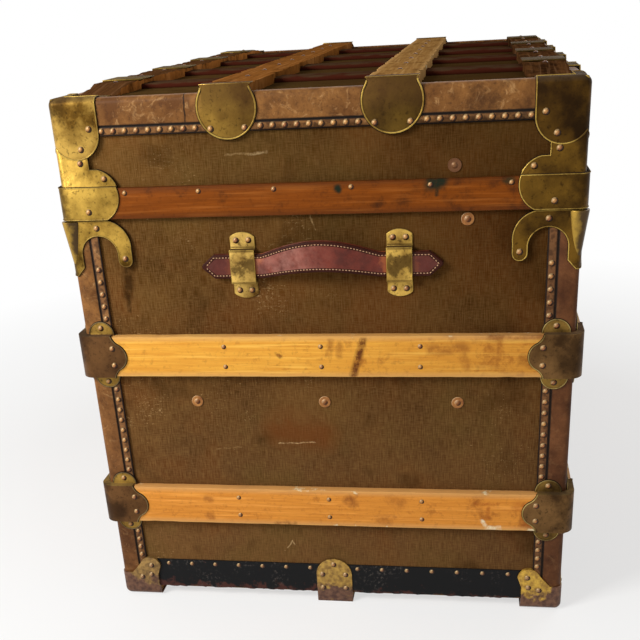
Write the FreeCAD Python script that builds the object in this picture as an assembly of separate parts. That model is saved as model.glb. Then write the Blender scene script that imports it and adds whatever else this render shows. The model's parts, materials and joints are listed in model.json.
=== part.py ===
import FreeCAD, Part
import math
import os

# A flat-top travelling trunk: a canvas-covered box with a hinged lid, wooden slats and stamped brass corners.
# Millimetres. +X points to the right-hand end handle, -Y to the lock side, +Z up.
# The origin is on the floor, under the middle of the trunk.

# Overall sizes, over the edge bindings
body_length = 840.0
body_width = 520.0
foot_height = 12.0
seam_height = 458.0
lid_height = 117.0
seam_gap = 1.0

# Thicknesses
board = 12.0
canvas = 1.0
lining = 1.0
binding = 2.5
brass = 1.2
iron = 1.5
band = 1.2
tray_board = 6.0
lip_board = 4.0

# Fibre bindings: how far they reach from the corner, and where the groove beside the nail strip lies
corner_radius = 6.0
upright_leg = 32.0
upright_groove = 22.0
lid_leg = 36.0
lid_groove = 27.0
top_leg = 12.0
groove_width = 1.2
groove_depth = 0.8

# Slats round the case and the lid rim
slat_width = 45.0
slat_thickness = 10.0
upper_slat_drop = 147.5
lower_slat_rise = 117.5
rim_slat_width = 31.0
rim_slat_thickness = 6.0

# Slats and cross bands on the lid's top
top_slat_thickness = 9.5
middle_slat_width = 50.0
middle_slat_offset = 80.0
edge_slat_width = 42.0
edge_slat_inset = 14.0
cross_band_width = 45.0
cross_band_thickness = 5.0
cross_band_spacing = 180.0
cross_band_count = 4
cross_band_bevel = 2.0
fit = 0.3

# Stamped hardware
cap_width = 48.0
cap_height = 57.5
cap_side = 34.0
cap_lowest = 26.0
cap_heel_drop = 41.5
cap_gap = 1.0
shield_half_width = 25.0
shield_neck = 23.5
shield_waist = 10.0
shield_radius = 29.0
shield_drop = 42.5
shield_top = 14.0
plate_lobe = 61.0
plate_neck = 33.0
plate_foot_width = 46.0
plate_widest_rise = 22.0
plate_shoulder = 41.0
plate_neck_rise = 49.0
horn_width = 65.5
horn_drop = 48.0
horn_shoulder = 44.0
horn_bend = 31.0
horn_leg = 14.0
horn_heel = 12.0
horn_spur = 9.0
horn_spur_width = 4.0
horn_arch_drop = 15.0
horn_spring_drop = 33.0
clamp_reach = 31.0
clamp_lobe = 46.5
clamp_throat = 40.0
clamp_throat_drop = 10.0
clamp_hollow = 1.2
tab_radius = 13.5
tab_inset = 19.5
foot_width = 45.0
foot_lobe = 48.5
foot_lobe_height = 41.0
foot_lobe_drop = 11.0
foot_waist = 44.0
foot_waist_drop = 24.0
foot_shoulder = 24.0
foot_shoulder_drop = 8.0
foot_heel = 12.0
foot_heel_drop = 22.0
skid_clamp_half_width = 21.0
skid_clamp_height = 46.0
skid_clamp_reach = 45.0

# Bottom
bottom_band_height = 38.0
skid_width = 40.0
skid_edge_gap = 0.5

# End handles
handle_drop = 51.0
handle_shift = 4.0
handle_half_length = 123.5
handle_point = 13.0
handle_tip = 1.5
strap_half_width = 12.5
strap_swell = 3.0
strap_thickness = 7.0
strap_bow = 14.0
strap_arch = 12.0
strap_clearance = 0.4
handle_play = 7.0
loop_offset = 80.0
loop_width = 26.0
loop_half_height = 34.5
loop_end_rise = 5.0
bridge_half_height = 17.5
loop_sheet = 1.6

# Hinges at the back
hinge_offset = 250.0
hinge_width = 50.0
hinge_pin_out = 5.5
hinge_barrel = 4.0
hinge_pin = 2.2
hinge_sheet = 1.6
hinge_leaf = 45.0
knuckle_gap = 0.4
pin_clearance = 0.06

# Lever latches at the front
latch_offset = 250.0
latch_pin_drop = 30.0
latch_pin_out = 13.0
latch_pin = 2.5
latch_ear = 2.5
latch_sheet = 1.6
latch_half_width = 16.0
lever_half_width = 11.0
lever_knuckle = 5.0
lever_sheet = 2.5
catch_ledge_rise = 18.0
catch_ledge_height = 7.0
hook_clearance = 1.5
thumb_lift = 4.0
ear_rim = 1.0
leaf_margin = 2.0

# Lock, hasp and bolt at the front
lock_half_width = 32.0
lock_depth = 9.0
lock_height = 67.0
lock_top_drop = 8.0
lock_floor = 1.0
notch_half_width = 7.0
eye_drop = 22.0
stud_half_width = 4.0
stud_half_height = 6.5
bolt_height = 5.0
bolt_thickness = 4.0
bolt_floor = 4.0
bolt_length = 18.0
bolt_travel = 18.0
bolt_clearance = 0.2
bolt_gap = 1.5
eye_clearance = 0.6
hasp_half_width = 14.0
hasp_sheet = 2.5
hasp_rise = 12.0
hasp_barrel = 3.5
hasp_pin = 1.8
hasp_clearance = 1.2

# Inside
lip_below = 20.0
lip_above = 12.0
lid_lining_start = 14.0
runner_drop = 32.5
runner_half_height = 11.0
runner_depth = 14.0
runner_half_length = 190.0
tray_top_drop = 21.0
tray_clearance = 1.5
tab_width = 30.0
tab_thickness = 2.5
tab_length = 60.0
tab_rise = 12.0

# Nails and rivets: radius and height of the heads
trim_head = (3.2, 1.75)
rivet_head = (3.3, 1.8)
slat_head = (2.6, 1.35)
band_head = (2.8, 1.45)
stud_head = (3.2, 1.4)
washer = (6.5, 0.9)
trim_pitch = 12.5
band_nail_pitch = 27.0
rim_nail_pitch = 75.0
nail_margin = 3.5
slat_nail_pitch = 104.0
slat_nail_margin = 84.0
stud_pitch = 142.5
stay_offset = 138.0

# Places that follow from the sizes above
V = FreeCAD.Vector
end = body_length / 2
side = body_width / 2
end_canvas = end - binding
side_canvas = side - binding
end_board = end_canvas - canvas
side_board = side_canvas - canvas
end_inner = end_board - board
side_inner = side_board - board
end_lined = end_inner - lining
side_lined = side_inner - lining
case_top = seam_height - seam_gap
floor_top = foot_height + board
lid_top = seam_height + lid_height
lid_canvas_top = lid_top - binding
lid_board_top = lid_canvas_top - canvas
lid_board_bottom = lid_board_top - board
slat_proud = slat_thickness - binding
rim_proud = rim_slat_thickness - binding
slat_top = lid_canvas_top + top_slat_thickness
rim_slat_top = seam_height + rim_slat_width
upper_slat_z = seam_height - upper_slat_drop
lower_slat_z = foot_height + lower_slat_rise
upper_slat = (upper_slat_z - slat_width / 2, upper_slat_z + slat_width / 2)
lower_slat = (lower_slat_z - slat_width / 2, lower_slat_z + slat_width / 2)
handle_z = seam_height - handle_drop
runner_z = upper_slat[0] - runner_drop
runner_top = runner_z + runner_half_height
tray_top = seam_height - tray_top_drop
corner_span = upright_leg + plate_lobe + horn_width
middle_of_strip = (upright_groove + upright_leg) / 2
middle_of_lid_strip = (lid_groove + lid_leg) / 2
SIGNS = (1, -1)


def box(x0, x1, y0, y1, z0, z1):
    return Part.makeBox(x1 - x0, y1 - y0, z1 - z0, V(x0, y0, z0))


def both_ends(shapes):
    return shapes + [s.mirror(V(0, 0, 0), V(1, 0, 0)) for s in shapes]


def both_sides(shapes):
    return shapes + [s.mirror(V(0, 0, 0), V(0, 1, 0)) for s in shapes]


def four_corners(shape):
    return both_sides(both_ends([shape]))


def rod(radius, x0, x1, y, z):
    return Part.makeCylinder(radius, x1 - x0, V(x0, y, z), V(1, 0, 0))


def outline(place, start, *steps):
    """A flat face from straight steps (u, z) and arcs ((u, z) through, (u, z) to), set in space by place."""
    edges = []
    here = start
    for step in steps + (start,):
        is_arc = isinstance(step[0], tuple)
        there = step[1] if is_arc else step
        if is_arc:
            edges.append(Part.Arc(place(*here), place(*step[0]), place(*there)).toShape())
        elif there != here:
            edges.append(Part.makeLine(place(*here), place(*there)))
        here = there
    return Part.Face(Part.Wire(edges))


def on_end(u, z):
    """A point of the right end's canvas, u inward from the corner at +Y."""
    return V(end_canvas, side - u, z)


def on_side(u, z):
    """A point of the back's canvas, u inward from the corner at +X."""
    return V(end - u, side_canvas, z)


def one_solid(shape):
    return shape.removeSplitter().Solids[0]


def export(name, solids):
    Part.makeCompound(solids).exportStep("parts/" + name + ".step")


def rounded_corner(span, offset, z0, z1):
    """The upright corner at +X +Y as a square column, rounded on its outer edge."""
    column = box(end - span, end + offset, side - span, side + offset, z0, z1)
    outer = [e for e in column.Edges
             if all(v.X > end + offset - fit / 10 and v.Y > side + offset - fit / 10 for v in e.Vertexes)]
    return column.makeFillet(corner_radius + offset, outer)


def canvas_column(z0, z1):
    return box(end - corner_span, end_canvas, side - corner_span, side_canvas, z0, z1)


def bound_corner(z0, z1):
    """What a stamped corner plate lies on: the canvas, and the binding round the corner."""
    return canvas_column(z0, z1).fuse(rounded_corner(upright_leg, 0, z0, z1))


def corner_prisms(height, *steps):
    """One outline on both faces of the corner, from the canvas out to height above the binding."""
    on_ends = outline(on_end, *steps).extrude(V(binding + height, 0, 0))
    on_sides = outline(on_side, *steps).extrude(V(0, binding + height, 0))
    return on_ends.fuse(on_sides)


def bent_plate(thickness, low, high, *steps):
    """A stamped plate bent round a corner, lying on the binding and the canvas."""
    blank = corner_prisms(thickness, *steps)
    return blank.common(rounded_corner(corner_span, thickness, low, high)).cut(bound_corner(low, high))


def raised_plate(proud, slat_low, slat_high, low, high, *steps):
    """A stamped box bent round a corner, over the ends of two slats."""
    blank = corner_prisms(proud + brass, *steps)
    blank = blank.common(rounded_corner(corner_span, proud + brass, low, high))
    return blank.cut(bound_corner(low, high)).cut(rounded_corner(2 * corner_span, proud, slat_low, slat_high))


def rounded_block(offset, z0, z1):
    block = box(-end - offset, end + offset, -side - offset, side + offset, z0, z1)
    uprights = [e for e in block.Edges if abs(e.Vertexes[0].Z - e.Vertexes[1].Z) > (z1 - z0) / 2]
    return block.makeFillet(corner_radius + offset, uprights)


def lid_block(offset, z0):
    """The lid's outside, rounded on its upright and upper edges."""
    block = box(-end - offset, end + offset, -side - offset, side + offset, z0, lid_top + offset)
    edges = [e for e in block.Edges if max(v.Z for v in e.Vertexes) > lid_top + offset - fit]
    return block.makeFillet(corner_radius + offset, edges)


def dome(head, at, out):
    """A nail or rivet head that lies on a face at a point, with its crown along out."""
    radius, height = head
    ball = (radius ** 2 + height ** 2) / (2 * height)
    below = ball - height
    latitude = math.degrees(math.asin(below / ball))
    return Part.makeSphere(ball, at - out * below, out, latitude, 90, 360)


def spread(low, high, pitch):
    """Evenly spaced places from low to high, about pitch apart."""
    gaps = max(1, round((high - low) / pitch))
    return [low + (high - low) * i / gaps for i in range(gaps + 1)]


def corner_heads(head, height, places):
    """Heads on both faces of all four corners, at height above the binding, at (u, z) places."""
    heads = []
    for u, z in places:
        heads += four_corners(dome(head, V(end + height, side - u, z), V(1, 0, 0)))
        heads += four_corners(dome(head, V(end - u, side + height, z), V(0, 1, 0)))
    return heads


def end_heads(head, x, places):
    """Heads on both end faces at x from the middle, at (y, z) places."""
    return both_ends([dome(head, V(x, y, z), V(1, 0, 0)) for y, z in places])


def side_heads(head, y, places):
    """Heads on the front and back faces at y from the middle, at (x, z) places."""
    return both_sides([dome(head, V(x, y, z), V(0, 1, 0)) for x, z in places])


def sheet_box(x, y, t, z0, z1):
    """Four upright sheets of thickness t round the inside of x and y: the long ones run full length."""
    long_sheet = box(-x, x, y - t, y, z0, z1)
    short_sheet = box(x - t, x, -(y - t), y - t, z0, z1)
    return both_sides([long_sheet]) + both_ends([short_sheet])


def slat_ring(z0, z1, thickness):
    """Four slats round the trunk: the long ones run to the corners, all are cut back over the bindings."""
    proud = thickness - binding
    bound = four_corners(rounded_corner(upright_leg, 0, z0, z1))
    long_slat = box(-end - proud, end + proud, side_canvas, side + proud, z0, z1)
    long_slat = one_solid(long_slat.common(rounded_block(proud, z0, z1)).cut(bound))
    short_slat = box(end_canvas, end + proud, -side_canvas, side_canvas, z0, z1)
    short_slat = one_solid(short_slat.common(rounded_block(proud, z0, z1)).cut(bound))
    return both_sides([long_slat]), both_ends([short_slat])


os.makedirs("parts", exist_ok=True)

# Case: boards, canvas, lining and dust lip
case_walls = sheet_box(end_board, side_board, board, foot_height, case_top)
export("case_back_board", [case_walls[0]])
export("case_front_board", [case_walls[1]])
export("case_right_end_board", [case_walls[2]])
export("case_left_end_board", [case_walls[3]])
export("case_floor_board", [box(-end_inner, end_inner, -side_inner, side_inner, foot_height, floor_top)])
export("case_canvas", sheet_box(end_canvas, side_canvas, canvas, foot_height, case_top))
lining_floor = box(-end_inner, end_inner, -side_inner, side_inner, floor_top, floor_top + lining)
lining_walls = sheet_box(end_inner, side_inner, lining, floor_top + lining, case_top)
export("case_lining", [lining_floor] + lining_walls)
export("case_dust_lip", sheet_box(end_lined, side_lined, lip_board, seam_height - lip_below,
                                  seam_height + lip_above))


# Upright fibre bindings, with a groove beside the nail strip
def upright_binding(z0, z1):
    strip = rounded_corner(upright_leg, 0, z0, z1).cut(canvas_column(z0, z1))
    at = upright_groove - groove_width / 2
    on_end_groove = box(end - groove_depth, end + binding, side - at - groove_width, side - at, z0, z1)
    on_side_groove = box(end - at - groove_width, end - at, side - groove_depth, side + binding, z0, z1)
    return one_solid(strip.cut([on_end_groove, on_side_groove]))


export("case_corner_bindings", four_corners(upright_binding(foot_height, case_top)))

# Slats round the case, and the stamped clamps over their corners
for level, (low, high) in (("upper", upper_slat), ("lower", lower_slat)):
    long_slats, short_slats = slat_ring(low, high, slat_thickness)
    export("case_" + level + "_slats", long_slats + short_slats)


def slat_clamp(low, high):
    """A box over the slats' corner: a round lobe on each slat, and half-round nail tabs above and below."""
    edge = -(slat_proud + brass)
    middle = (low + high) / 2
    hollow = ((clamp_reach + clamp_throat) / 2 - clamp_hollow, (clamp_throat_drop - brass) / 2 + clamp_hollow)
    shell = raised_plate(slat_proud, low, high, low - brass, high + brass,
                         (edge, low - brass), (clamp_reach, low - brass),
                         ((hollow[0], low + hollow[1]), (clamp_throat, low + clamp_throat_drop)),
                         ((clamp_lobe, middle), (clamp_throat, high - clamp_throat_drop)),
                         ((hollow[0], high - hollow[1]), (clamp_reach, high + brass)), (edge, high + brass))
    for z, up in ((high, 1), (low, -1)):
        tab = corner_prisms(brass, (tab_inset - tab_radius, z),
                            ((tab_inset, z + up * (brass + tab_radius)), (tab_inset + tab_radius, z)))
        reach = sorted((z, z + up * 2 * tab_radius))
        shell = shell.fuse(tab.cut(bound_corner(*reach)))
    return one_solid(shell)


for level, (low, high) in (("upper", upper_slat), ("lower", lower_slat)):
    export(level + "_slat_corner_clamps", four_corners(slat_clamp(low, high)))

# Horns on the case's rim corners: a plate with an arch between its two legs
horn_top = case_top - seam_gap
horn_bottom = horn_top - horn_drop
horn_turn = horn_width - horn_shoulder
horn_inside = horn_width - horn_leg
horn_round = (horn_shoulder + horn_turn * math.sin(math.pi / 4),
              horn_top - horn_bend * (1 - math.cos(math.pi / 4)))
horn = bent_plate(brass, horn_bottom - horn_spur, horn_top,
                  (-brass, horn_top), (horn_shoulder, horn_top),
                  (horn_round, (horn_width, horn_top - horn_bend)), (horn_width, horn_bottom + horn_leg / 2),
                  ((horn_width - horn_leg / 2, horn_bottom), (horn_inside, horn_bottom + horn_leg / 2)),
                  (horn_inside, horn_top - horn_spring_drop),
                  (((horn_inside + horn_heel) / 2, horn_top - horn_arch_drop),
                   (horn_heel, horn_top - horn_spring_drop)),
                  (horn_heel, horn_bottom), (horn_spur_width, horn_bottom - horn_spur),
                  (-brass, horn_bottom - horn_spur))
export("case_rim_corner_horns", four_corners(one_solid(horn)))

# Bottom band, skids, and the irons that the trunk stands on
band_end = box(end_canvas, end_canvas + band, -(side - upright_leg), side - upright_leg,
               foot_height, foot_height + bottom_band_height)
band_side = box(-(end - upright_leg), end - upright_leg, side_canvas, side_canvas + band,
                foot_height, foot_height + bottom_band_height)
export("bottom_band", both_sides([band_side]) + both_ends([band_end]))

foot_round = corner_radius + iron
foot_top = foot_height + foot_lobe_height
foot_column = box(end - corner_span, end + iron, side - corner_span, side + iron, 0, foot_top)
foot_edges = [e for e in foot_column.Edges
              if all(v.X > end and v.Y > side for v in e.Vertexes)
              or all(v.Z < iron and v.X > end for v in e.Vertexes)
              or all(v.Z < iron and v.Y > side for v in e.Vertexes)]
foot_column = foot_column.makeFillet(foot_round, foot_edges)
foot_sides = corner_prisms(iron, (-iron, 0), (foot_width, 0), (foot_waist, foot_height),
                           (foot_waist, foot_top - foot_waist_drop), (foot_lobe, foot_top - foot_lobe_drop),
                           ((foot_lobe - foot_lobe_drop, foot_top),
                            (foot_shoulder, foot_top - foot_shoulder_drop)),
                           (foot_heel, foot_top - foot_heel_drop), (-iron, foot_top - foot_heel_drop))
foot_sole = box(end - foot_width, end + iron, side - foot_width, side + iron, 0, iron)
foot_iron = foot_sides.fuse(foot_sole).common(foot_column)
skid_end = end_canvas - skid_edge_gap
skid_side = side_canvas - skid_edge_gap
side_skid = box(-skid_end, skid_end, skid_side - skid_width, skid_side, 0, foot_height)
side_skid = side_skid.cut(both_ends([foot_sole]))
foot_iron = foot_iron.cut(bound_corner(foot_height, foot_top)).cut([band_end, band_side])
export("bottom_corner_irons", four_corners(one_solid(foot_iron)))

skid_clamp_face = end_canvas + band


def on_band(y, z):
    return V(skid_clamp_face, y, z)


arch_start = foot_height + skid_clamp_height - skid_clamp_half_width
skid_clamp = outline(on_band, (-skid_clamp_half_width, 0), (skid_clamp_half_width, 0),
                     (skid_clamp_half_width, arch_start),
                     ((0, foot_height + skid_clamp_height), (-skid_clamp_half_width, arch_start)))
skid_clamp = skid_clamp.extrude(V(iron, 0, 0))
skid_sole = box(end - skid_clamp_reach, skid_clamp_face + iron, -skid_clamp_half_width, skid_clamp_half_width,
                0, iron)
export("skid_end_clamps", both_ends([one_solid(skid_clamp.fuse(skid_sole))]))
middle_skid = box(-skid_end, skid_end, -skid_width / 2, skid_width / 2, 0, foot_height)
middle_skid = middle_skid.cut(both_ends([skid_sole]))
export("bottom_skids", [one_solid(middle_skid)] + both_sides([one_solid(side_skid)]))

# End handles: leather straps that slide a little in stamped loops
bridge_clear = strap_thickness + 2 * strap_clearance
loop_sections = ((0, -loop_half_height), (loop_sheet, -loop_half_height), (loop_sheet, -bridge_half_height),
                 (bridge_clear + loop_sheet, -bridge_half_height),
                 (bridge_clear + loop_sheet, bridge_half_height), (loop_sheet, bridge_half_height),
                 (loop_sheet, loop_half_height), (0, loop_half_height),
                 (0, bridge_half_height - loop_sheet), (bridge_clear, bridge_half_height - loop_sheet),
                 (bridge_clear, loop_sheet - bridge_half_height), (0, loop_sheet - bridge_half_height))


def handle_loop(y):
    def in_section(out, up):
        return V(end_canvas + out, y - loop_width / 2, handle_z + up)

    def on_face(across, up):
        return V(end_canvas, y + across, handle_z + up)

    hat = outline(in_section, *loop_sections).extrude(V(0, loop_width, 0))
    edge = loop_width / 2
    rise = loop_half_height - loop_end_rise
    rounded = outline(on_face, (-edge, -rise), ((0, -loop_half_height), (edge, -rise)),
                      (edge, rise), ((0, loop_half_height), (-edge, rise)))
    return one_solid(hat.common(rounded.extrude(V(bridge_clear + loop_sheet, 0, 0))))


loop_places = [handle_shift - loop_offset, handle_shift + loop_offset]
export("handle_loops", both_ends([handle_loop(y) for y in loop_places]))


def swell(s, free):
    """1 in the middle of the strap, falling as an arch to 0 at free."""
    return (1 - (min(s, free) / free) ** 2) ** 1.2


def strap_half_width_at(s):
    """Half the strap's width at s along it from the middle: swelled in the middle, pointed at the ends."""
    free = loop_offset - loop_width / 2 - handle_play
    shoulder = handle_half_length - handle_point
    if s > shoulder:
        return strap_half_width - (strap_half_width - handle_tip) * (s - shoulder) / handle_point
    return strap_half_width + strap_swell * swell(s, free)


def strap():
    free = loop_offset - loop_width / 2 - handle_play
    shoulder = handle_half_length - handle_point
    places = spread(0, free, free / 8) + [shoulder]
    places += [handle_half_length]
    stations = [-s for s in reversed(places[1:])] + places
    sections = []
    for y in stations:
        lift = swell(abs(y), free)
        x = end_canvas + strap_clearance + strap_bow * lift
        z = handle_z + strap_arch * lift
        half = strap_half_width_at(abs(y))
        corners = [V(x, y + handle_shift, z - half), V(x + strap_thickness, y + handle_shift, z - half),
                   V(x + strap_thickness, y + handle_shift, z + half), V(x, y + handle_shift, z + half)]
        sections.append(Part.makePolygon(corners + corners[:1]))
    return Part.makeLoft(sections, True, True)


right_strap, left_strap = both_ends([strap()])
export("right_handle", [right_strap])
export("left_handle", [left_strap])

# Hinges at the back: leaves on case and lid, knuckles on one pin
hinge_y = side + hinge_pin_out
hinge_z = seam_height - seam_gap / 2
knuckle_half = hinge_width / 6
pin_bore = hinge_pin + pin_clearance


def hinge_leaf_at(x, up, knuckles):
    """A leaf on the canvas: up is 1 on the lid and -1 on the case; knuckles are (x0, x1) spans on the pin."""
    near, far = hinge_z + up * (hinge_barrel - hinge_sheet), hinge_z + up * hinge_leaf
    leaf = box(x - hinge_width / 2, x + hinge_width / 2, side_canvas, side_canvas + hinge_sheet,
               min(near, far), max(near, far))
    rim = hinge_z + up * hinge_barrel
    for x0, x1 in knuckles:
        web = box(x + x0, x + x1, side_canvas, hinge_y, min(near, rim), max(near, rim))
        leaf = leaf.fuse(web).fuse(rod(hinge_barrel, x + x0, x + x1, hinge_y, hinge_z))
    bore = rod(pin_bore, x - hinge_width, x + hinge_width, hinge_y, hinge_z)
    return one_solid(leaf.cut(bore))


outer_knuckles = ((-hinge_width / 2, -knuckle_half - knuckle_gap),
                  (knuckle_half + knuckle_gap, hinge_width / 2))
export("hinge_case_leaves", both_ends([hinge_leaf_at(hinge_offset, -1, outer_knuckles)]))
export("hinge_lid_leaves", both_ends([hinge_leaf_at(hinge_offset, 1, ((-knuckle_half, knuckle_half),))]))
export("hinge_pins", both_ends([rod(hinge_pin, hinge_offset - hinge_width / 2, hinge_offset + hinge_width / 2,
                                    hinge_y, hinge_z)]))


# Front hardware is placed by its distance out from the front canvas
def front_box(x0, x1, out0, out1, z0, z1):
    return box(x0, x1, -(side_canvas + out1), -(side_canvas + out0), z0, z1)


def front_rod(radius, x0, x1, out, z):
    return rod(radius, x0, x1, -(side_canvas + out), z)


# Lever latches: a hook lever on a pin between two ears, and a catch ledge on the lid's rim slat
latch_z = seam_height - latch_pin_drop
ledge_top = seam_height + catch_ledge_rise
lever_length = ledge_top + hook_clearance + lever_sheet - latch_z
ear_inside = lever_half_width + knuckle_gap * 4
ear_height = lever_knuckle + ear_rim
catch_face = rim_slat_thickness + latch_sheet
lever_inside = latch_pin_out + lever_knuckle - lever_sheet
ledge_out = lever_inside - hook_clearance
latch_bore = latch_pin + pin_clearance


def latch_base(x):
    base = front_box(x - latch_half_width, x + latch_half_width, 0, latch_sheet,
                     latch_z - 4 * lever_knuckle, seam_height - lock_top_drop)
    for sign in SIGNS:
        ear = sorted((x + sign * ear_inside, x + sign * (ear_inside + latch_ear)))
        base = base.fuse(front_box(ear[0], ear[1], 0, latch_pin_out + ear_height,
                                   latch_z - ear_height, latch_z + ear_height))
    reach = latch_half_width + latch_ear
    return one_solid(base.cut(front_rod(latch_bore, x - reach, x + reach, latch_pin_out, latch_z)))


def latch_lever(x):
    """The lever, made closed and then swung down to hang open on its pin."""
    plate = front_box(x - lever_half_width, x + lever_half_width, lever_inside, lever_inside + lever_sheet,
                      latch_z, latch_z + lever_length)
    hook_out = latch_pin_out - lever_knuckle + hook_clearance
    hook = front_box(x - lever_half_width, x + lever_half_width, hook_out, lever_inside,
                     latch_z + lever_length - lever_sheet, latch_z + lever_length)
    thumb = front_box(x - lever_half_width, x + lever_half_width, lever_inside,
                      lever_inside + lever_sheet + thumb_lift, latch_z + lever_length - lever_sheet,
                      latch_z + lever_length)
    knuckle = front_rod(lever_knuckle, x - lever_half_width, x + lever_half_width, latch_pin_out, latch_z)
    bore = front_rod(latch_bore, x - latch_half_width, x + latch_half_width, latch_pin_out, latch_z)
    lever = one_solid(plate.fuse([hook, thumb, knuckle]).cut(bore))
    lever.rotate(V(0, -(side_canvas + latch_pin_out), latch_z), V(1, 0, 0), 180)
    return lever


def latch_catch(x):
    leaf = front_box(x - lever_half_width - leaf_margin, x + lever_half_width + leaf_margin,
                     rim_slat_thickness, catch_face,
                     seam_height + hook_clearance, rim_slat_top - hook_clearance)
    ledge = front_box(x - lever_half_width + leaf_margin, x + lever_half_width - leaf_margin,
                      catch_face, ledge_out, ledge_top - catch_ledge_height, ledge_top)
    return one_solid(leaf.fuse(ledge))


latch_pin_half = ear_inside + latch_ear
export("latch_bases", both_ends([latch_base(latch_offset)]))
export("latch_pins", both_ends([front_rod(latch_pin, latch_offset - latch_pin_half,
                                          latch_offset + latch_pin_half, latch_pin_out, latch_z)]))
export("latch_catches", both_ends([latch_catch(latch_offset)]))
export("latch_lever_right", [latch_lever(latch_offset)])
export("latch_lever_left", [latch_lever(-latch_offset)])

# Lock: a raised case with an open notch for the hasp's stud, and a bolt that slides across the notch
lock_top = seam_height - lock_top_drop
eye_z = seam_height - eye_drop
bolt_start = notch_half_width + bolt_gap
bolt_z = (eye_z - bolt_height / 2, eye_z + bolt_height / 2)
bolt_out = (bolt_floor, bolt_floor + bolt_thickness)
lock_case = front_box(-lock_half_width, lock_half_width, 0, lock_depth, lock_top - lock_height, lock_top)
notch = front_box(-notch_half_width, notch_half_width, lock_floor, lock_depth,
                  eye_z - 2 * stud_half_height, lock_top)
channel = front_box(bolt_start - bolt_travel - bolt_clearance * 5,
                    bolt_start + bolt_length + bolt_clearance * 5,
                    bolt_out[0] - bolt_clearance, bolt_out[1] + bolt_clearance,
                    bolt_z[0] - bolt_clearance, bolt_z[1] + bolt_clearance)
export("lock_case", [one_solid(lock_case.cut([notch, channel]))])
export("lock_bolt", [front_box(bolt_start, bolt_start + bolt_length, bolt_out[0], bolt_out[1],
                               bolt_z[0], bolt_z[1])])

# Hasp: a leaf on the lid's rim slat, a pin, and an arm with an eyed stud that hangs over the lock
hasp_z = seam_height + hasp_rise
hasp_out = catch_face + hasp_barrel + fit
hasp_inside = lock_depth + hasp_clearance
hasp_knuckle = hasp_half_width / 2
hasp_bore_radius = hasp_pin + pin_clearance
hasp_bore = front_rod(hasp_bore_radius, -2 * hasp_half_width, 2 * hasp_half_width, hasp_out, hasp_z)
leaf_half_width = hasp_half_width + leaf_margin
hasp_leaf = front_box(-leaf_half_width, leaf_half_width, rim_slat_thickness, catch_face,
                      seam_height + hook_clearance, rim_slat_top - hook_clearance)
for x0, x1 in ((-hasp_half_width, -hasp_knuckle), (hasp_knuckle, hasp_half_width)):
    web = front_box(x0, x1, rim_slat_thickness, hasp_out,
                    hasp_z + hasp_barrel - latch_sheet, hasp_z + hasp_barrel)
    hasp_leaf = hasp_leaf.fuse([web, front_rod(hasp_barrel, x0, x1, hasp_out, hasp_z)])
export("hasp_leaf", [one_solid(hasp_leaf.cut(hasp_bore))])
export("hasp_pin", [front_rod(hasp_pin, -hasp_half_width, hasp_half_width, hasp_out, hasp_z)])

neck = hasp_knuckle - knuckle_gap
arm_end = eye_z - 2 * stud_half_height + hasp_barrel / 2
arm_top = hasp_z - 2 * hasp_barrel
hasp_outside = hasp_inside + hasp_sheet
hasp_arm = front_box(-hasp_half_width, hasp_half_width, hasp_inside, hasp_outside, arm_end, arm_top)
hasp_neck = front_box(-neck, neck, hasp_inside, hasp_outside, arm_top, hasp_z)
stud = front_box(-stud_half_width, stud_half_width, lock_floor + eye_clearance, hasp_inside,
                 eye_z - stud_half_height, eye_z + stud_half_height)
eye = front_box(-2 * stud_half_width, 2 * stud_half_width, bolt_out[0] - eye_clearance,
                bolt_out[1] + eye_clearance / 2, bolt_z[0] - eye_clearance, bolt_z[1] + eye_clearance)
hasp = hasp_arm.fuse([hasp_neck, stud.cut(eye), front_rod(hasp_barrel, -neck, neck, hasp_out, hasp_z)])
export("lock_hasp", [one_solid(hasp.cut(hasp_bore))])

# Tray on end runners
runner = box(end_lined - runner_depth, end_lined, -runner_half_length, runner_half_length,
             runner_z - runner_half_height, runner_top)
export("tray_runners", both_ends([runner]))
tray_end = end_lined - lip_board - tray_clearance
tray_side = side_lined - lip_board - tray_clearance
export("tray_floor", [box(-tray_end, tray_end, -tray_side, tray_side, runner_top, runner_top + tray_board)])
export("tray_walls", sheet_box(tray_end, tray_side, tray_board, runner_top + tray_board, tray_top))
tray_inside = tray_end - tray_board
lift_tab = box(tray_inside - tab_thickness, tray_inside, -tab_width / 2, tab_width / 2,
               tray_top + tab_rise - tab_length, tray_top + tab_rise)
export("tray_lift_tabs", both_ends([lift_tab]))

# Lid: boards, canvas and lining
lid_panel = box(-end_board, end_board, -side_board, side_board, lid_board_bottom, lid_board_top)
export("lid_top_board", [lid_panel])
export("lid_rails", sheet_box(end_board, side_board, board, seam_height, lid_board_bottom))
lid_sheet = box(-end_canvas, end_canvas, -side_canvas, side_canvas, lid_board_top, lid_canvas_top)
export("lid_canvas", [lid_sheet] + sheet_box(end_canvas, side_canvas, canvas, seam_height, lid_board_top))
lid_ceiling = lid_board_bottom - lining
lid_lining_top = box(-end_inner, end_inner, -side_inner, side_inner, lid_ceiling, lid_board_bottom)
lid_lining_walls = sheet_box(end_inner, side_inner, lining, seam_height + lid_lining_start, lid_ceiling)
export("lid_lining", [lid_lining_top] + lid_lining_walls)

# Lid's fibre bindings: four mitred strips round the top edge, and four short uprights below them
lid_band_bottom = lid_top - lid_leg
lid_canvas_block = box(-end_canvas, end_canvas, -side_canvas, side_canvas, seam_height, lid_canvas_top)
lid_window = box(top_leg - end, end - top_leg, top_leg - side, side - top_leg, seam_height, lid_top + binding)
plain_ring = lid_block(0, lid_band_bottom).cut([lid_canvas_block, lid_window])
groove_top = lid_top - lid_groove + groove_width / 2
groove = rounded_block(binding, groove_top - groove_width, groove_top)
groove = groove.cut(rounded_block(-groove_depth, groove_top - groove_width, groove_top))
ring = plain_ring.cut(groove)
mitre = 2 * lid_leg


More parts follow.
